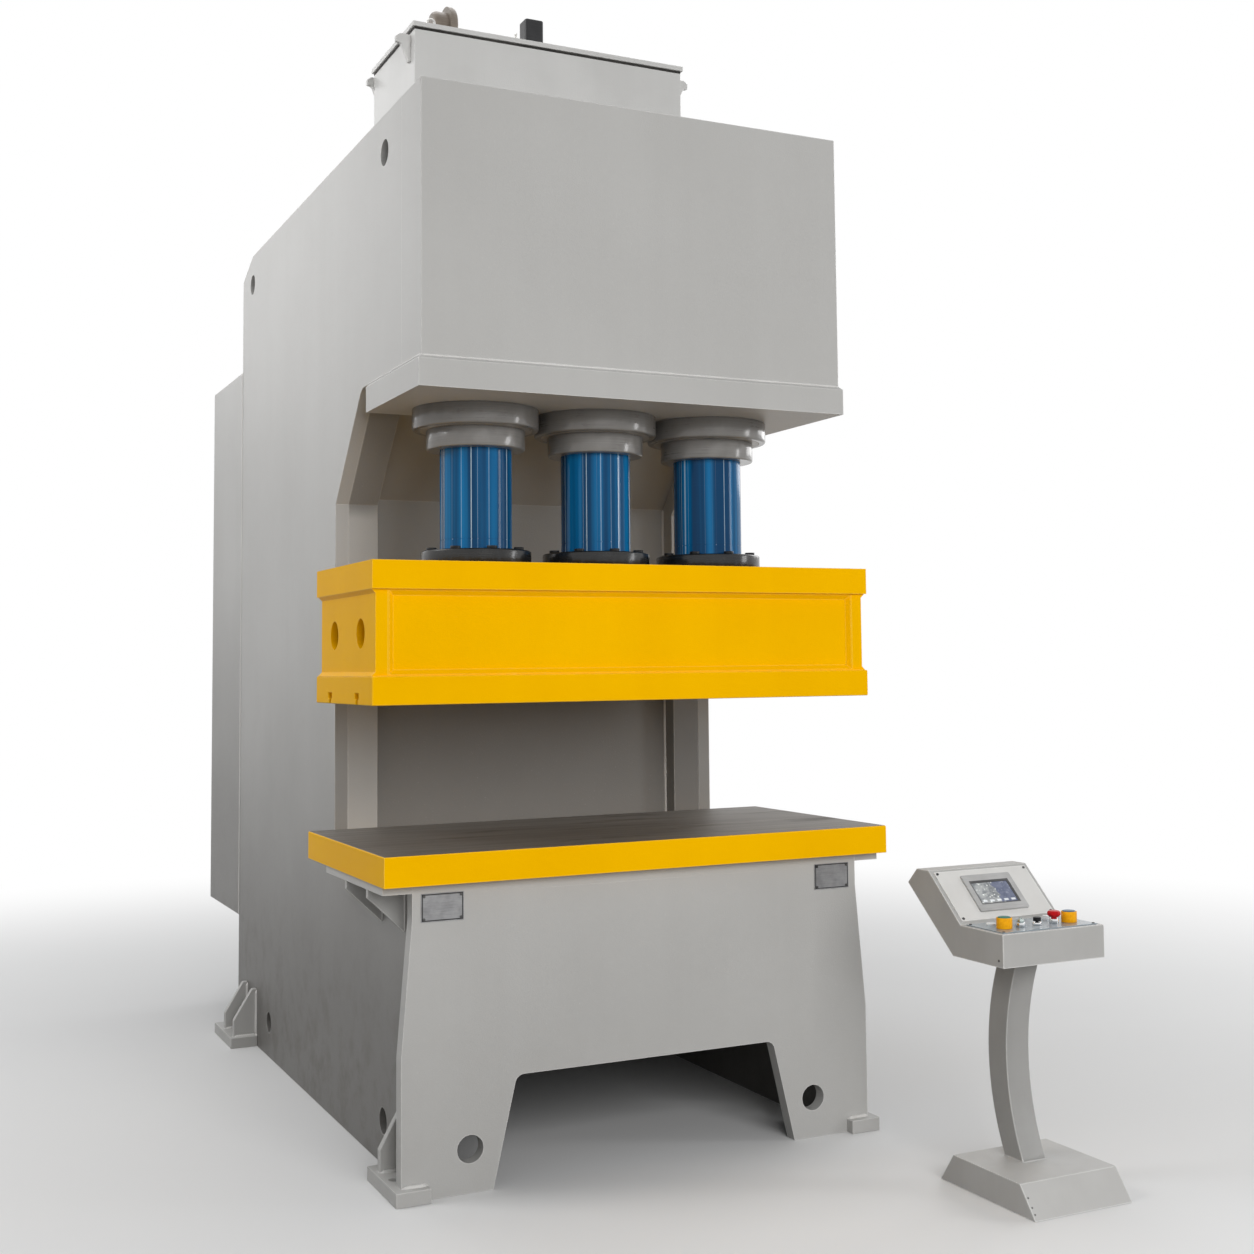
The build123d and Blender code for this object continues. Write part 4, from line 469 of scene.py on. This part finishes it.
# the console's bright rims are a painted edge highlight
consoleLook = dict(consoleWeldLook, rimHighlightColour=(0.92, 0.915, 0.90), rimLeast=0.7, rimWidth=0.005,
                   pitColour=(0.03, 0.03, 0.03))
plinthPits = (  # on the front slope
    (0.768, -2.3397, 0.0570), (0.768, -2.3576, 0.0334), (0.768, -2.3704, 0.0166),
)
consolePaint = (0.510, 0.505, 0.490)
consoleShade = (0.465, 0.458, 0.443)
consolePieces = {
    "pedestal_base": (0.002, 1.02), "pedestal_column": (0.003, 0.71), "console_box": (0.0015, 0.88),
    "screen_plate": (0.0, 1.38),
}
for pieceName, (rounding, paintedLightFactor) in consolePieces.items():
    pits = plinthPits if pieceName == "pedestal_base" else ()
    # each piece's paint is made lighter or darker to paint in the light or shade it gets
    light, dark = [[value * paintedLightFactor for value in colour] for colour in (consolePaint, consoleShade)]
    paint = platePaint("paint_" + pieceName, light, dark, consoleLook, consoleLook["rimWidth"], pits=pits)
    dress(pieceName, paint, rounding)
print("tank and pedestal painted")

# Nameplates: bare brushed metal inside a dark printed border
nameplate = {
    "width": 0.142, "borderOut": (0.0018, 0.0026), "borderIn": (0.0062, 0.0050),
    "brushed": ((9, 9, 700), 3, 0.6), "clouds": (24, 3, 0.55), "share": 0.5, "span": (0.3, 0.7),
    "metal": (0.24, 0.24, 0.245), "metalLight": (0.40, 0.40, 0.405), "print": (0.02, 0.02, 0.021),
    "metallic": 0.85, "printMetallic": 0.15, "roughness": 0.38, "brushedRough": 0.2, "printRough": 0.1,
    "brushedHigh": 0.3, "depth": 0.0004,
}


# The two plates mirror each other, so the border follows the distance from the nearest edge of either
def nameplateFinish(look):
    low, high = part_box("nameplates")
    finish = Finish("nameplate_metal")
    reach = look["width"] / 2
    fromSide = reach - (finish.x.size() - (high[0] - reach)).size()
    fromLevel = (finish.z - low[2]).smaller(high[2] - finish.z)
    inset = fromSide.smaller(fromLevel)
    border = inset.ease(*look["borderIn"]) * inset.ease(*look["borderOut"])
    brushed = finish.noise(*look["brushed"])
    clouds = finish.noise(*look["clouds"])
    tone = (brushed * look["share"] + clouds * look["share"]).ease(*look["span"])
    metal = finish.blend(tone, look["metal"], look["metalLight"])
    finish.feed("Base Color", finish.blend(border, metal, look["print"]))
    finish.feed("Metallic", look["metallic"] - border * (look["metallic"] - look["printMetallic"]))
    rough = (brushed - 0.5) * look["brushedRough"] + border * look["printRough"]
    finish.feed("Roughness", look["roughness"] + rough)
    finish.bump(brushed * look["brushedHigh"] - border, look["depth"])
    return finish.material


dress("nameplates", nameplateFinish(nameplate))

# Button panel: a satin film with a pale line just inside its edge
desk = {
    "lineOut": (0.0028, 0.0036), "lineIn": (0.0060, 0.0052), "line": (0.62, 0.65, 0.67), "lineShare": 0.6,
    "film": (0.200, 0.250, 0.290), "filmLight": (0.270, 0.320, 0.360),
    "clouds": (20, 3, 0.55), "span": (0.3, 0.7), "fine": (900, 2, 0.5),
    "roughness": 0.30, "fineRough": 0.12, "coat": 0.3, "depth": 0.00012,
}


def deskFinish(look):
    low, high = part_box("button_panel")
    finish = Finish("desk_film")
    gapX = (finish.x - low[0]).smaller(high[0] - finish.x)
    gapY = (finish.y - low[1]).smaller(high[1] - finish.y)
    inset = gapX.smaller(gapY)
    line = inset.ease(*look["lineOut"]) * inset.ease(*look["lineIn"])
    fine = finish.noise(*look["fine"])
    film = finish.blend(finish.noise(*look["clouds"]).ease(*look["span"]), look["film"], look["filmLight"])
    finish.feed("Base Color", finish.blend(line * look["lineShare"], film, look["line"]))
    finish.feed("Roughness", look["roughness"] + (fine - 0.5) * look["fineRough"])
    finish.feed("Coat Weight", look["coat"])
    finish.bump(fine, look["depth"])
    return finish.material


dress("button_panel", deskFinish(desk))

# Screen: the middle of the glass on the console's slanted face, and that face's rise over its run
screen = {
    "middle": (0.947, at(-0.6565), 0.907),
    "rise": 0.154, "run": 0.167,
    "glass": (0.158, 0.098),
}


# Unit vectors up the slope and out of it
def slopeVectors():
    length = math.hypot(screen["rise"], screen["run"])
    up = np.array([0.0, screen["run"], screen["rise"]]) / length
    out = np.array([0.0, -screen["rise"], screen["run"]]) / length
    return up, out


# The lit screen: a pale chart with bright patches on the left, a slate field on the right, soft keys below;
# its places are metres right and up from the middle of the glass
display = {
    "slate": (0.085, 0.098, 0.150), "slateLight": (0.125, 0.140, 0.200),
    "chart": (0.150, 0.160, 0.170), "chartLight": (0.310, 0.320, 0.320),
    "bright": (0.880, 0.900, 0.860), "key": (0.740, 0.760, 0.780), "rim": (0.012, 0.012, 0.013),
    "drift": (42, 3, 0.6), "toneSpan": (0.35, 0.65),
    "divide": (0.013, 0.007), "divideDrift": 0.07, "divideLean": 0.25,
    "spots": (120, 2, 0.5), "spotSpan": (0.60, 0.67), "spotLeast": 0.12, "spotChart": 0.6,
    "keys": 5, "keyFirst": -0.065, "keyWidth": 0.017, "keyPitch": 0.0285, "keyLevels": (-0.037, -0.029),
    "keySoft": 0.0015, "keyShare": 0.7, "picture": (0.0715, 0.0415), "pictureSoft": 0.001,
    "glow": 0.42, "roughness": 0.08, "driftRough": 0.04, "specular": 0.3,
}


def screenFinish(look):
    finish = Finish("screen_glow")
    up, _ = slopeVectors()
    middle = float(np.dot(up, screen["middle"]))
    v = finish.vector("DOT_PRODUCT", (finish.place, tuple(up)), output=1) - middle
    u = finish.x - screen["middle"][0]

    # 1 inside a rectangle of the screen, eased to 0 over its soft edges
    def patch(left, right, bottom, top, soft):
        across = u.ease(left - soft, left + soft) * u.ease(right + soft, right - soft)
        return across * v.ease(bottom - soft, bottom + soft) * v.ease(top + soft, top - soft)

    drift = finish.noise(*look["drift"])
    tone = drift.ease(*look["toneSpan"])
    chart = (u + (drift - 0.5) * look["divideDrift"] + v * look["divideLean"]).ease(*look["divide"])
    slate = finish.blend(tone, look["slate"], look["slateLight"])
    ground = finish.blend(chart, slate, finish.blend(tone, look["chart"], look["chartLight"]))
    spots = finish.noise(*look["spots"]).ease(*look["spotSpan"])
    ground = finish.blend(spots * (look["spotLeast"] + chart * look["spotChart"]), ground, look["bright"])
    lefts = [look["keyFirst"] + i * look["keyPitch"] for i in range(look["keys"])]
    keys = sum(patch(left, left + look["keyWidth"], *look["keyLevels"], look["keySoft"]) for left in lefts)
    ground = finish.blend(keys * look["keyShare"], ground, look["key"])
    width, height = look["picture"]
    picture = patch(-width, width, -height, height, look["pictureSoft"])
    ground = finish.blend(picture, look["rim"], ground)
    finish.feed("Base Color", ground)
    finish.feed("Emission Color", ground)
    finish.feed("Emission Strength", look["glow"])
    finish.feed("Roughness", look["roughness"] + (drift - 0.5) * look["driftRough"])
    finish.feed("Specular IOR Level", look["specular"])
    return finish.material


# Bezel: its darker and lighter colour, roughness, metal and coat
bezel = {"finish": ((0.36, 0.357, 0.352), (0.46, 0.457, 0.452), 0.36, 0.2, 0.1), "rounding": 0.0018}
bezelGrey = turnedFinish("bezel_grey", *bezel["finish"], brushedLook)
dress("screen_glass", screenFinish(display))
dress("screen_bezel", bezelGrey, bezel["rounding"], segments=3)
print("console finished")

# Plastic and chrome of the controls: soft mottling, tiny scuffs and a faint moulded grain
mouldedLook = {
    "clouds": (120, 3, 0.55), "fine": (1800, 2, 0.5), "span": (0.3, 0.7), "roughness": 0.34, "metal": 0.0,
    "specular": 0.16, "cloudRough": 0.10, "fineRough": 0.08, "share": 0.5, "depth": 0.00008,
}
chromeLook = dict(mouldedLook, roughness=0.10, metal=1.0, specular=0.5)


def mouldedFinish(name, dark, light, look):
    finish = Finish(name)
    clouds = finish.noise(*look["clouds"])
    fine = finish.noise(*look["fine"])
    finish.feed("Base Color", finish.blend(clouds.ease(*look["span"]), dark, light))
    grain = (clouds - 0.5) * look["cloudRough"] + (fine - 0.5) * look["fineRough"]
    finish.feed("Roughness", look["roughness"] + grain)
    finish.feed("Metallic", look["metal"])
    finish.feed("Specular IOR Level", look["specular"])
    finish.bump(fine * look["share"] + clouds * look["share"], look["depth"])
    return finish.material


# Each piece's finish, darker and lighter colour, recipe and the rounding of its edges
moulded = {
    "run_button_guards": ("guard_yellow", (0.84, 0.36, 0.004), (0.95, 0.44, 0.008), mouldedLook, 0.0012),
    "run_button_left": ("cap_green", (0.004, 0.120, 0.075), (0.010, 0.185, 0.120), mouldedLook, 0.0),
    "run_button_right": ("cap_blue", (0.006, 0.075, 0.150), (0.012, 0.120, 0.220), mouldedLook, 0.0),
    "black_button": ("cap_black", (0.006, 0.006, 0.007), (0.016, 0.016, 0.018), mouldedLook, 0.0),
    "stop_button": ("stop_red", (0.42, 0.004, 0.008), (0.58, 0.010, 0.014), mouldedLook, 0.0),
    "signal_lamps": ("lamp_lens", (0.86, 0.89, 0.90), (0.93, 0.95, 0.96), mouldedLook, 0.0),
    "control_bezels": ("control_chrome", (0.66, 0.67, 0.68), (0.80, 0.81, 0.82), chromeLook, 0.0006),
}
for pieceName, (*recipe, rounding) in moulded.items():
    dress(pieceName, mouldedFinish(*recipe), rounding)

# Selector: greenish chrome with a black pointer line along its grip
selector = {
    "chrome": (0.42, 0.50, 0.48), "chromeLight": (0.62, 0.70, 0.68), "line": (0.008, 0.008, 0.009),
    "clouds": (120, 3, 0.55), "span": (0.3, 0.7), "lineSpan": (0.0032, 0.0022), "lineBelow": (0.0030, 0.0020),
    "metal": 0.85, "roughness": 0.20, "cloudRough": 0.12, "depth": 0.0001, "rounding": 0.0012,
}


def selectorFinish(look):
    low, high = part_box("selector_knob")
    finish = Finish("selector_chrome")
    clouds = finish.noise(*look["clouds"])
    across = (finish.x - (low[0] + high[0]) / 2).size().ease(*look["lineSpan"])
    pointer = across * finish.z.ease(*[high[2] - below for below in look["lineBelow"]])
    chrome = finish.blend(clouds.ease(*look["span"]), look["chrome"], look["chromeLight"])
    finish.feed("Base Color", finish.blend(pointer, chrome, look["line"]))
    finish.feed("Metallic", look["metal"] - pointer * look["metal"])
    finish.feed("Roughness", look["roughness"] + (clouds - 0.5) * look["cloudRough"])
    finish.bump(clouds, look["depth"])
    return finish.material


dress("selector_knob", selectorFinish(selector), selector["rounding"])
print("controls finished")


# Faces of a grid of points: each square joins one row to the next, and the last column to the first;
# where wrapRows is true the last row joins the first too.
def gridFaces(rows, sides, wrapRows=False):
    row, col = np.meshgrid(np.arange(rows if wrapRows else rows - 1), np.arange(sides), indexing="ij")
    nextRow = (row + 1) % rows
    nextCol = (col + 1) % sides
    corners = [row * sides + col, nextRow * sides + col, nextRow * sides + nextCol, row * sides + nextCol]
    return np.stack(corners, axis=-1).reshape(-1, 4)


def meshObject(name, points, faces, material, smooth=False):
    mesh = bpy.data.meshes.new(name)
    mesh.from_pydata(points.reshape(-1, 3).tolist(), [], faces)
    mesh.polygons.foreach_set("use_smooth", [smooth] * len(mesh.polygons))
    mesh.materials.append(material)
    mesh.update()
    made = bpy.data.objects.new(name, mesh)
    bpy.context.scene.collection.objects.link(made)
    return made


# Several round grids as one piece: each grid's rings are joined to each other and closed at both ends.
def closedGrids(name, grids, material, body):
    faces = []
    start = 0
    for grid in grids:
        rows, sides = grid.shape[:2]
        faces.extend((gridFaces(rows, sides) + start).tolist())
        faces.append([start + i for i in range(sides)])
        faces.append([start + (rows - 1) * sides + i for i in range(sides)][::-1])
        start += rows * sides
    points = np.concatenate([grid.reshape(-1, 3) for grid in grids])
    piece = meshObject(name, points, faces, material, smooth=True)
    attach(piece, body)


# Weld beads: a wavy round profile; uneven is a slow swell along the seam, taper the length in radii of each
# pointed end
bead = {
    "ripple": 0.13, "pitch": 0.009, "bow": 1.1, "step": 0.0032, "sides": 8, "fewest": 3,
    "uneven": 0.08, "swell": 31.0, "offset": 7, "taper": 1.5, "tip": 0.05, "steep": 0.8,
}


# Points every step along straight runs through the corners, with the running length of each.
def walk(corners):
    corners = np.asarray(corners, dtype=float)
    runs = np.linalg.norm(np.diff(corners, axis=0), axis=1)
    marks = np.concatenate([[0], np.cumsum(runs)])
    count = max(bead["fewest"], int(round(marks[-1] / bead["step"])) + 1)
    lengths = np.linspace(0, marks[-1], count)
    places = np.stack([np.interp(lengths, marks, corners[:, axis]) for axis in range(3)], axis=1)
    return places, lengths


# A bead's surface: radius r(s, a) = r * taper * uneven * (1 + ripple * sin(2 pi s / pitch + bow * cos a)),
# carried along the seam; s is the length along it and a the angle round it.
def beadGrid(corners, radius):
    places, lengths = walk(corners)
    along = np.gradient(places, axis=0)
    along /= np.linalg.norm(along, axis=1, keepdims=True)
    helper = np.where(np.abs(along[:, 2:3]) > bead["steep"], [[1.0, 0.0, 0.0]], [[0.0, 0.0, 1.0]])
    side = np.cross(along, helper)
    side /= np.linalg.norm(side, axis=1, keepdims=True)
    lift = np.cross(side, along)
    angle = np.linspace(0, 2 * math.pi, bead["sides"], endpoint=False)
    wave = np.sin(2 * math.pi * lengths[:, None] / bead["pitch"] + bead["bow"] * np.cos(angle)[None, :])
    uneven = 1 + bead["uneven"] * np.sin(lengths * bead["swell"] + corners[0][2] * bead["offset"])[:, None]
    fromEnd = np.minimum(lengths, lengths[-1] - lengths)
    taper = np.clip(fromEnd / (bead["taper"] * radius), bead["tip"], 1)[:, None]
    reach = radius * taper * uneven * (1 + bead["ripple"] * wave)
    ring = np.cos(angle)[None, :, None] * side[:, None, :] + np.sin(angle)[None, :, None] * lift[:, None, :]
    return places[:, None, :] + reach[:, :, None] * ring


def beads(name, seams, material, body):
    closedGrids(name, [beadGrid(corners, radius) for corners, radius in seams], material, body)


# A rectangle's corners at one level, back to the first
def loop(x0, x1, y0, y1, z):
    return [(x0, y0, z), (x1, y0, z), (x1, y1, z), (x0, y1, z), (x0, y0, z)]


# Two ends of an upright seam, and of a level seam
def upright(x, y, low, high):
    return [(x, y, low), (x, y, high)]


def level(x0, y0, x1, y1, z):
    return [(x0, y0, z), (x1, y1, z)]


# Head seams: the flange's top edge on three sides, and the foot of the tank
headPlan = {
    "flangeBack": 0.603, "flangeBead": 0.0045,
    "tankHalf": 0.569, "tankDepths": (0.8, 1.35), "tankBead": 0.005,
}
half = press["halfWidth"]
flange = press["headBottom"]
flangeBack = at(headPlan["flangeBack"])
tankHalf = headPlan["tankHalf"]
tankFront, tankBack = [at(depth) for depth in headPlan["tankDepths"]]
headSeams = [
    (level(-half, at(0), half, at(0), flange), headPlan["flangeBead"]),
    (level(-half, at(0), -half, flangeBack, flange), headPlan["flangeBead"]),
    (level(half, at(0), half, flangeBack, flange), headPlan["flangeBead"]),
    (loop(-tankHalf, tankHalf, tankFront, tankBack, press["height"]), headPlan["tankBead"]),
]

# Seams of one side of the base; an upright one is depth, lowest and highest point, and a bead its radius
basePlan = {
    "front": (0.05, 0.05, 0.94), "frontBead": 0.006, "rear": (2.78, 0.523, 3.095), "rearBead": 0.004,
    "strip": (1.14, 0.985, 2.33), "stripBead": 0.007,
    "padTop": 0.045, "padDepths": ((0.0, 0.287), (2.37, 2.74)), "padFront": -0.001, "padSpan": (0.778, 0.866),
    "padBead": 0.009, "ledge": 0.953, "ledgeDepths": (0.052, 0.69), "ledgeBead": 0.004,
}
# Gussets of the feet and of the table brackets: level of the joint and of its far end, thickness, radii of
# the upright and the level bead, and each one's depth and reach beyond the side plate
footGussets = {
    "joint": 0.045, "end": 0.244, "thick": 0.025, "beads": (0.008, 0.008),
    "places": ((0.204, 0.078), (2.401, 0.100), (2.592, 0.100)),
}
bracketGussets = {
    "joint": 0.953, "end": 0.809, "thick": 0.018, "beads": (0.004, 0.0035),
    "places": ((0.183, 0.122), (0.439, 0.122)),
}


# Both faces of each gusset: a seam up or down the side plate and one along the pad or ledge
def gussetSeams(sign, plan):
    side = sign * half
    uprightBead, levelBead = plan["beads"]
    made = []
    for depth, reach in plan["places"]:
        for face in (-1, 1):
            y = at(depth + face * plan["thick"] / 2)
            made.append((upright(side, y, plan["joint"], plan["end"]), uprightBead))
            made.append((level(side, y, side + sign * reach, y, plan["joint"]), levelBead))
    return made


def sideSeams(sign, plan):
    side = sign * half
    inner, outer = [sign * x for x in plan["padSpan"]]
    made = []
    for word, x in (("front", side), ("rear", side), ("strip", sign * press["strip"])):
        depth, low, high = plan[word]
        made.append((upright(x, at(depth), low, high), plan[word + "Bead"]))
    for start, end in plan["padDepths"]:
        made.append((level(side, at(start), side, at(end), plan["padTop"]), plan["padBead"]))
    start, end = plan["ledgeDepths"]
    made.append((level(side, at(start), side, at(end), plan["ledge"]), plan["ledgeBead"]))
    padFront = at(plan["padFront"])
    made.append((level(inner, padFront, outer, padFront, plan["padTop"]), plan["padBead"]))
    return made + gussetSeams(sign, footGussets) + gussetSeams(sign, bracketGussets)


beads("head_welds", headSeams, weldPaint, "frame")
beads("base_welds", sideSeams(-1, basePlan) + sideSeams(1, basePlan), weldPaint, "frame")
print("welds laid")

# Pedestal seams: round the column at its foot and at its head
pedestalPlan = {"x": (0.902, 0.992), "depths": (-0.83, -0.736), "levels": (0.092, 0.727), "bead": 0.003}
columnFront, columnBack = [at(depth) for depth in pedestalPlan["depths"]]
pedestalSeams = [
    (loop(*pedestalPlan["x"], columnFront, columnBack, z), pedestalPlan["bead"])
    for z in pedestalPlan["levels"]]
pedestalWeldPaint = platePaint("paint_pedestal_welds", consolePaint, consoleShade, consoleWeldLook)
beads("pedestal_welds", pedestalSeams, pedestalWeldPaint, "frame")

# Screw head on the console's left side; each ring is its place along X and its radius
consoleScrew = {
    "place": (0.747, -2.2552, 0.7479), "sides": 18,
    "rings": ((0.0012, 0.0040), (-0.0004, 0.0040), (-0.0014, 0.0036), (-0.0020, 0.0025), (-0.0022, 0.0010)),
}


# A flat dome: rings of falling radius r set outwards along -X, with y = r cos a and z = r sin a
def screwGrid():
    x, y, z = consoleScrew["place"]
    angle = np.linspace(0, 2 * math.pi, consoleScrew["sides"], endpoint=False)
    rings = np.array(consoleScrew["rings"])
    places = rings[:, :1]
    radii = rings[:, 1:]
    return np.stack([x + places + 0 * angle, y + radii * np.cos(angle), z + radii * np.sin(angle)], axis=-1)


screwSteel = turnedFinish("console_screw_steel", *darkSteel, brushedLook)
closedGrids("console_screw", [screwGrid()], screwSteel, "frame")

# Screen's inner frame: profile points out from the glass's edge and up from the slope, its corners and finish
surround = {
    "profile": ((0.0005, 0.0098), (-0.0010, 0.0103), (-0.0060, 0.0066), (-0.0062, 0.0058)),
    "corners": ((-1, -1), (1, -1), (1, 1), (-1, 1)),
    "finish": ((0.05, 0.05, 0.052), (0.11, 0.11, 0.112), 0.35, 0.3, 0.2),
}


# The closed profile carried round the glass: middle + corner * (half size + out), then its level outwards
def screenSurround():
    up, out = slopeVectors()
    across = np.array([1.0, 0.0, 0.0])
    profile = np.array(surround["profile"])
    corners = np.array(surround["corners"])
    halfSize = np.array(screen["glass"]) / 2
    flat = corners[:, None, :] * (halfSize[None, None, :] + profile[None, :, 0:1])
    onSlope = np.array(screen["middle"]) + flat[..., 0:1] * across + flat[..., 1:2] * up
    points = onSlope + profile[None, :, 1:2] * out
    rows, sides = points.shape[:2]
    finish = turnedFinish("surround_dark", *surround["finish"], brushedLook)
    piece = meshObject("screen_surround", points, gridFaces(rows, sides, wrapRows=True).tolist(), finish)
    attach(piece, "frame")


screenSurround()
print("screen surround made")

# Floor: radii of its rings, and where its own pale colour starts and ends to fade into the backdrop's white
floor = {
    "radii": (0.0, 3.0, 8.0, 20.0, 60.0), "sides": 96, "level": -0.0006, "keep": 2.6, "fade": 7.5,
    "clouds": (0.8, 3, 0.5), "pale": (0.80, 0.80, 0.80), "paleLight": (0.83, 0.83, 0.825),
    "bounce": (0.36, 0.35, 0.34),  # duller as bounced light, so it doesn't fill the shaded undersides
    "roughness": 0.6, "specular": 0.2,
}
white = (1, 1, 1, 1)


# A disc of rings: x = r cos a, y = r sin a
def layFloor(look):
    angle = np.linspace(0, 2 * math.pi, look["sides"], endpoint=False)
    radius = np.array(look["radii"])
    points = np.stack([radius[:, None] * np.cos(angle), radius[:, None] * np.sin(angle),
                       np.full((len(radius), len(angle)), look["level"])], axis=-1)
    finish = Finish("floor_pale")
    pale = finish.blend(finish.noise(*look["clouds"]), look["pale"], look["paleLight"])
    bounced = finish.node("ShaderNodeLightPath", {}, {}, output="Is Diffuse Ray")
    finish.feed("Base Color", finish.blend(bounced, pale, look["bounce"]))
    finish.feed("Roughness", look["roughness"])
    finish.feed("Specular IOR Level", look["specular"])
    away = finish.vector("LENGTH", (finish.place,), output=1)
    glow = finish.node("ShaderNodeEmission", {}, {"Color": white, "Strength": 1.0})
    finish.cover(away.ease(look["keep"], look["fade"]) * finish.shown(), glow)
    meshObject("floor", points, gridFaces(len(radius), len(angle)).tolist(), finish.material)


layFloor(floor)

# Lamps: soft panels that face the press, given by place, target, size and power
studio = {
    "sky": 0.26, "skyColour": (0.96, 0.98, 1.0, 1),
    "lamps": {
        "key": ((-0.7, -9.0, 3.5), (0.1, -0.6, 1.5), (5.0, 3.5), 392.0),
        "gloss": ((7.4, -5.2, 3.0), (0.0, -1.0, 2.4), (1.4, 2.4), 85.0),
        "fill": ((-4.8, 0.6, 5.2), (-0.8, 0.5, 2.3), (2.5, 2.5), 124.0),
        "sheen": ((-3.8, 9.5, 6.2), (-0.8, 0.3, 2.9), (4.0, 4.0), 60.0),
        "top": ((0.0, 1.5, 8.0), (0.0, 0.0, 1.0), (5.0, 5.0), 130.0),
        "right": ((6.5, 1.5, 4.5), (0.0, 0.5, 2.0), (4.0, 3.0), 110.0),
    },
}


# Backdrop: white to the camera, to reflections and through glass, a softer grey as light
def hangBackdrop():
    world = bpy.data.worlds.new("backdrop")
    bpy.context.scene.world = world
    sky = Recipe(world)
    shown = sky.node("ShaderNodeBackground", {}, {"Color": white, "Strength": 1.0})
    light = sky.node("ShaderNodeBackground", {}, {"Color": studio["skyColour"], "Strength": studio["sky"]})
    mixed = sky.node("ShaderNodeMixShader", {}, {0: sky.shown(), 1: light, 2: shown})
    sky.tree.links.new(mixed.socket, sky.tree.nodes.new("ShaderNodeOutputWorld").inputs[0])


# Stands a lamp or camera at a place, turned to its own right, up and backward directions
def stand(name, data, right, up, back, place):
    holder = bpy.data.objects.new(name, data)
    bpy.context.scene.collection.objects.link(holder)
    rows = [[right[i], up[i], back[i], place[i]] for i in range(3)]
    holder.matrix_world = Matrix(rows + [[0, 0, 0, 1]])
    return holder


def setLamps():
    for name, (place, target, size, power) in studio["lamps"].items():
        lamp = bpy.data.lights.new(name, "AREA")
        lamp.shape = "RECTANGLE"
        lamp.size, lamp.size_y = size
        lamp.energy = power
        back = np.array(place) - np.array(target)
        back /= np.linalg.norm(back)
        right = np.cross([0.0, 0.0, 1.0], back)
        right /= np.linalg.norm(right)
        holder = stand(name, lamp, right, np.cross(back, right), back, place)
        # the broad key lamp would show as a white square in round metal
        holder.visible_glossy = name != "key"


hangBackdrop()
setLamps()
print("studio lit")

# Camera, solved from the straight edges of the press: x, depth and height of its place, and angles in radians
cameraPlan = {
    "place": (-2.3984, -5.0006, 1.6650),
    "yaw": 0.4618, "pitch": 0.0710, "roll": -0.0113,
    "lens": 46.31, "sensor": 36.0, "shiftX": -0.0329, "shiftY": -0.0604, "farthest": 200.0,
}


# Looks ahead along (sin yaw cos pitch, cos yaw cos pitch, sin pitch), then rolls about that line
def placeCamera(plan):
    camera = bpy.data.cameras.new("camera")
    camera.lens = plan["lens"]
    camera.sensor_width = plan["sensor"]
    camera.sensor_fit = "HORIZONTAL"
    camera.shift_x = plan["shiftX"]
    camera.shift_y = plan["shiftY"]
    camera.clip_end = plan["farthest"]
    yaw, pitch, roll = plan["yaw"], plan["pitch"], plan["roll"]
    ahead = np.array([math.sin(yaw) * math.cos(pitch), math.cos(yaw) * math.cos(pitch), math.sin(pitch)])
    right = np.cross(ahead, [0.0, 0.0, 1.0])
    right /= np.linalg.norm(right)
    up = np.cross(right, ahead)
    tiltedRight = right * math.cos(roll) + up * math.sin(roll)
    tiltedUp = up * math.cos(roll) - right * math.sin(roll)
    x, depth, z = plan["place"]
    bpy.context.scene.camera = stand("camera", camera, tiltedRight, tiltedUp, -ahead, (x, at(depth), z))


placeCamera(cameraPlan)
bpy.context.scene.view_settings.view_transform = "Standard"
print("camera placed")

bpy.context.view_layer.update()
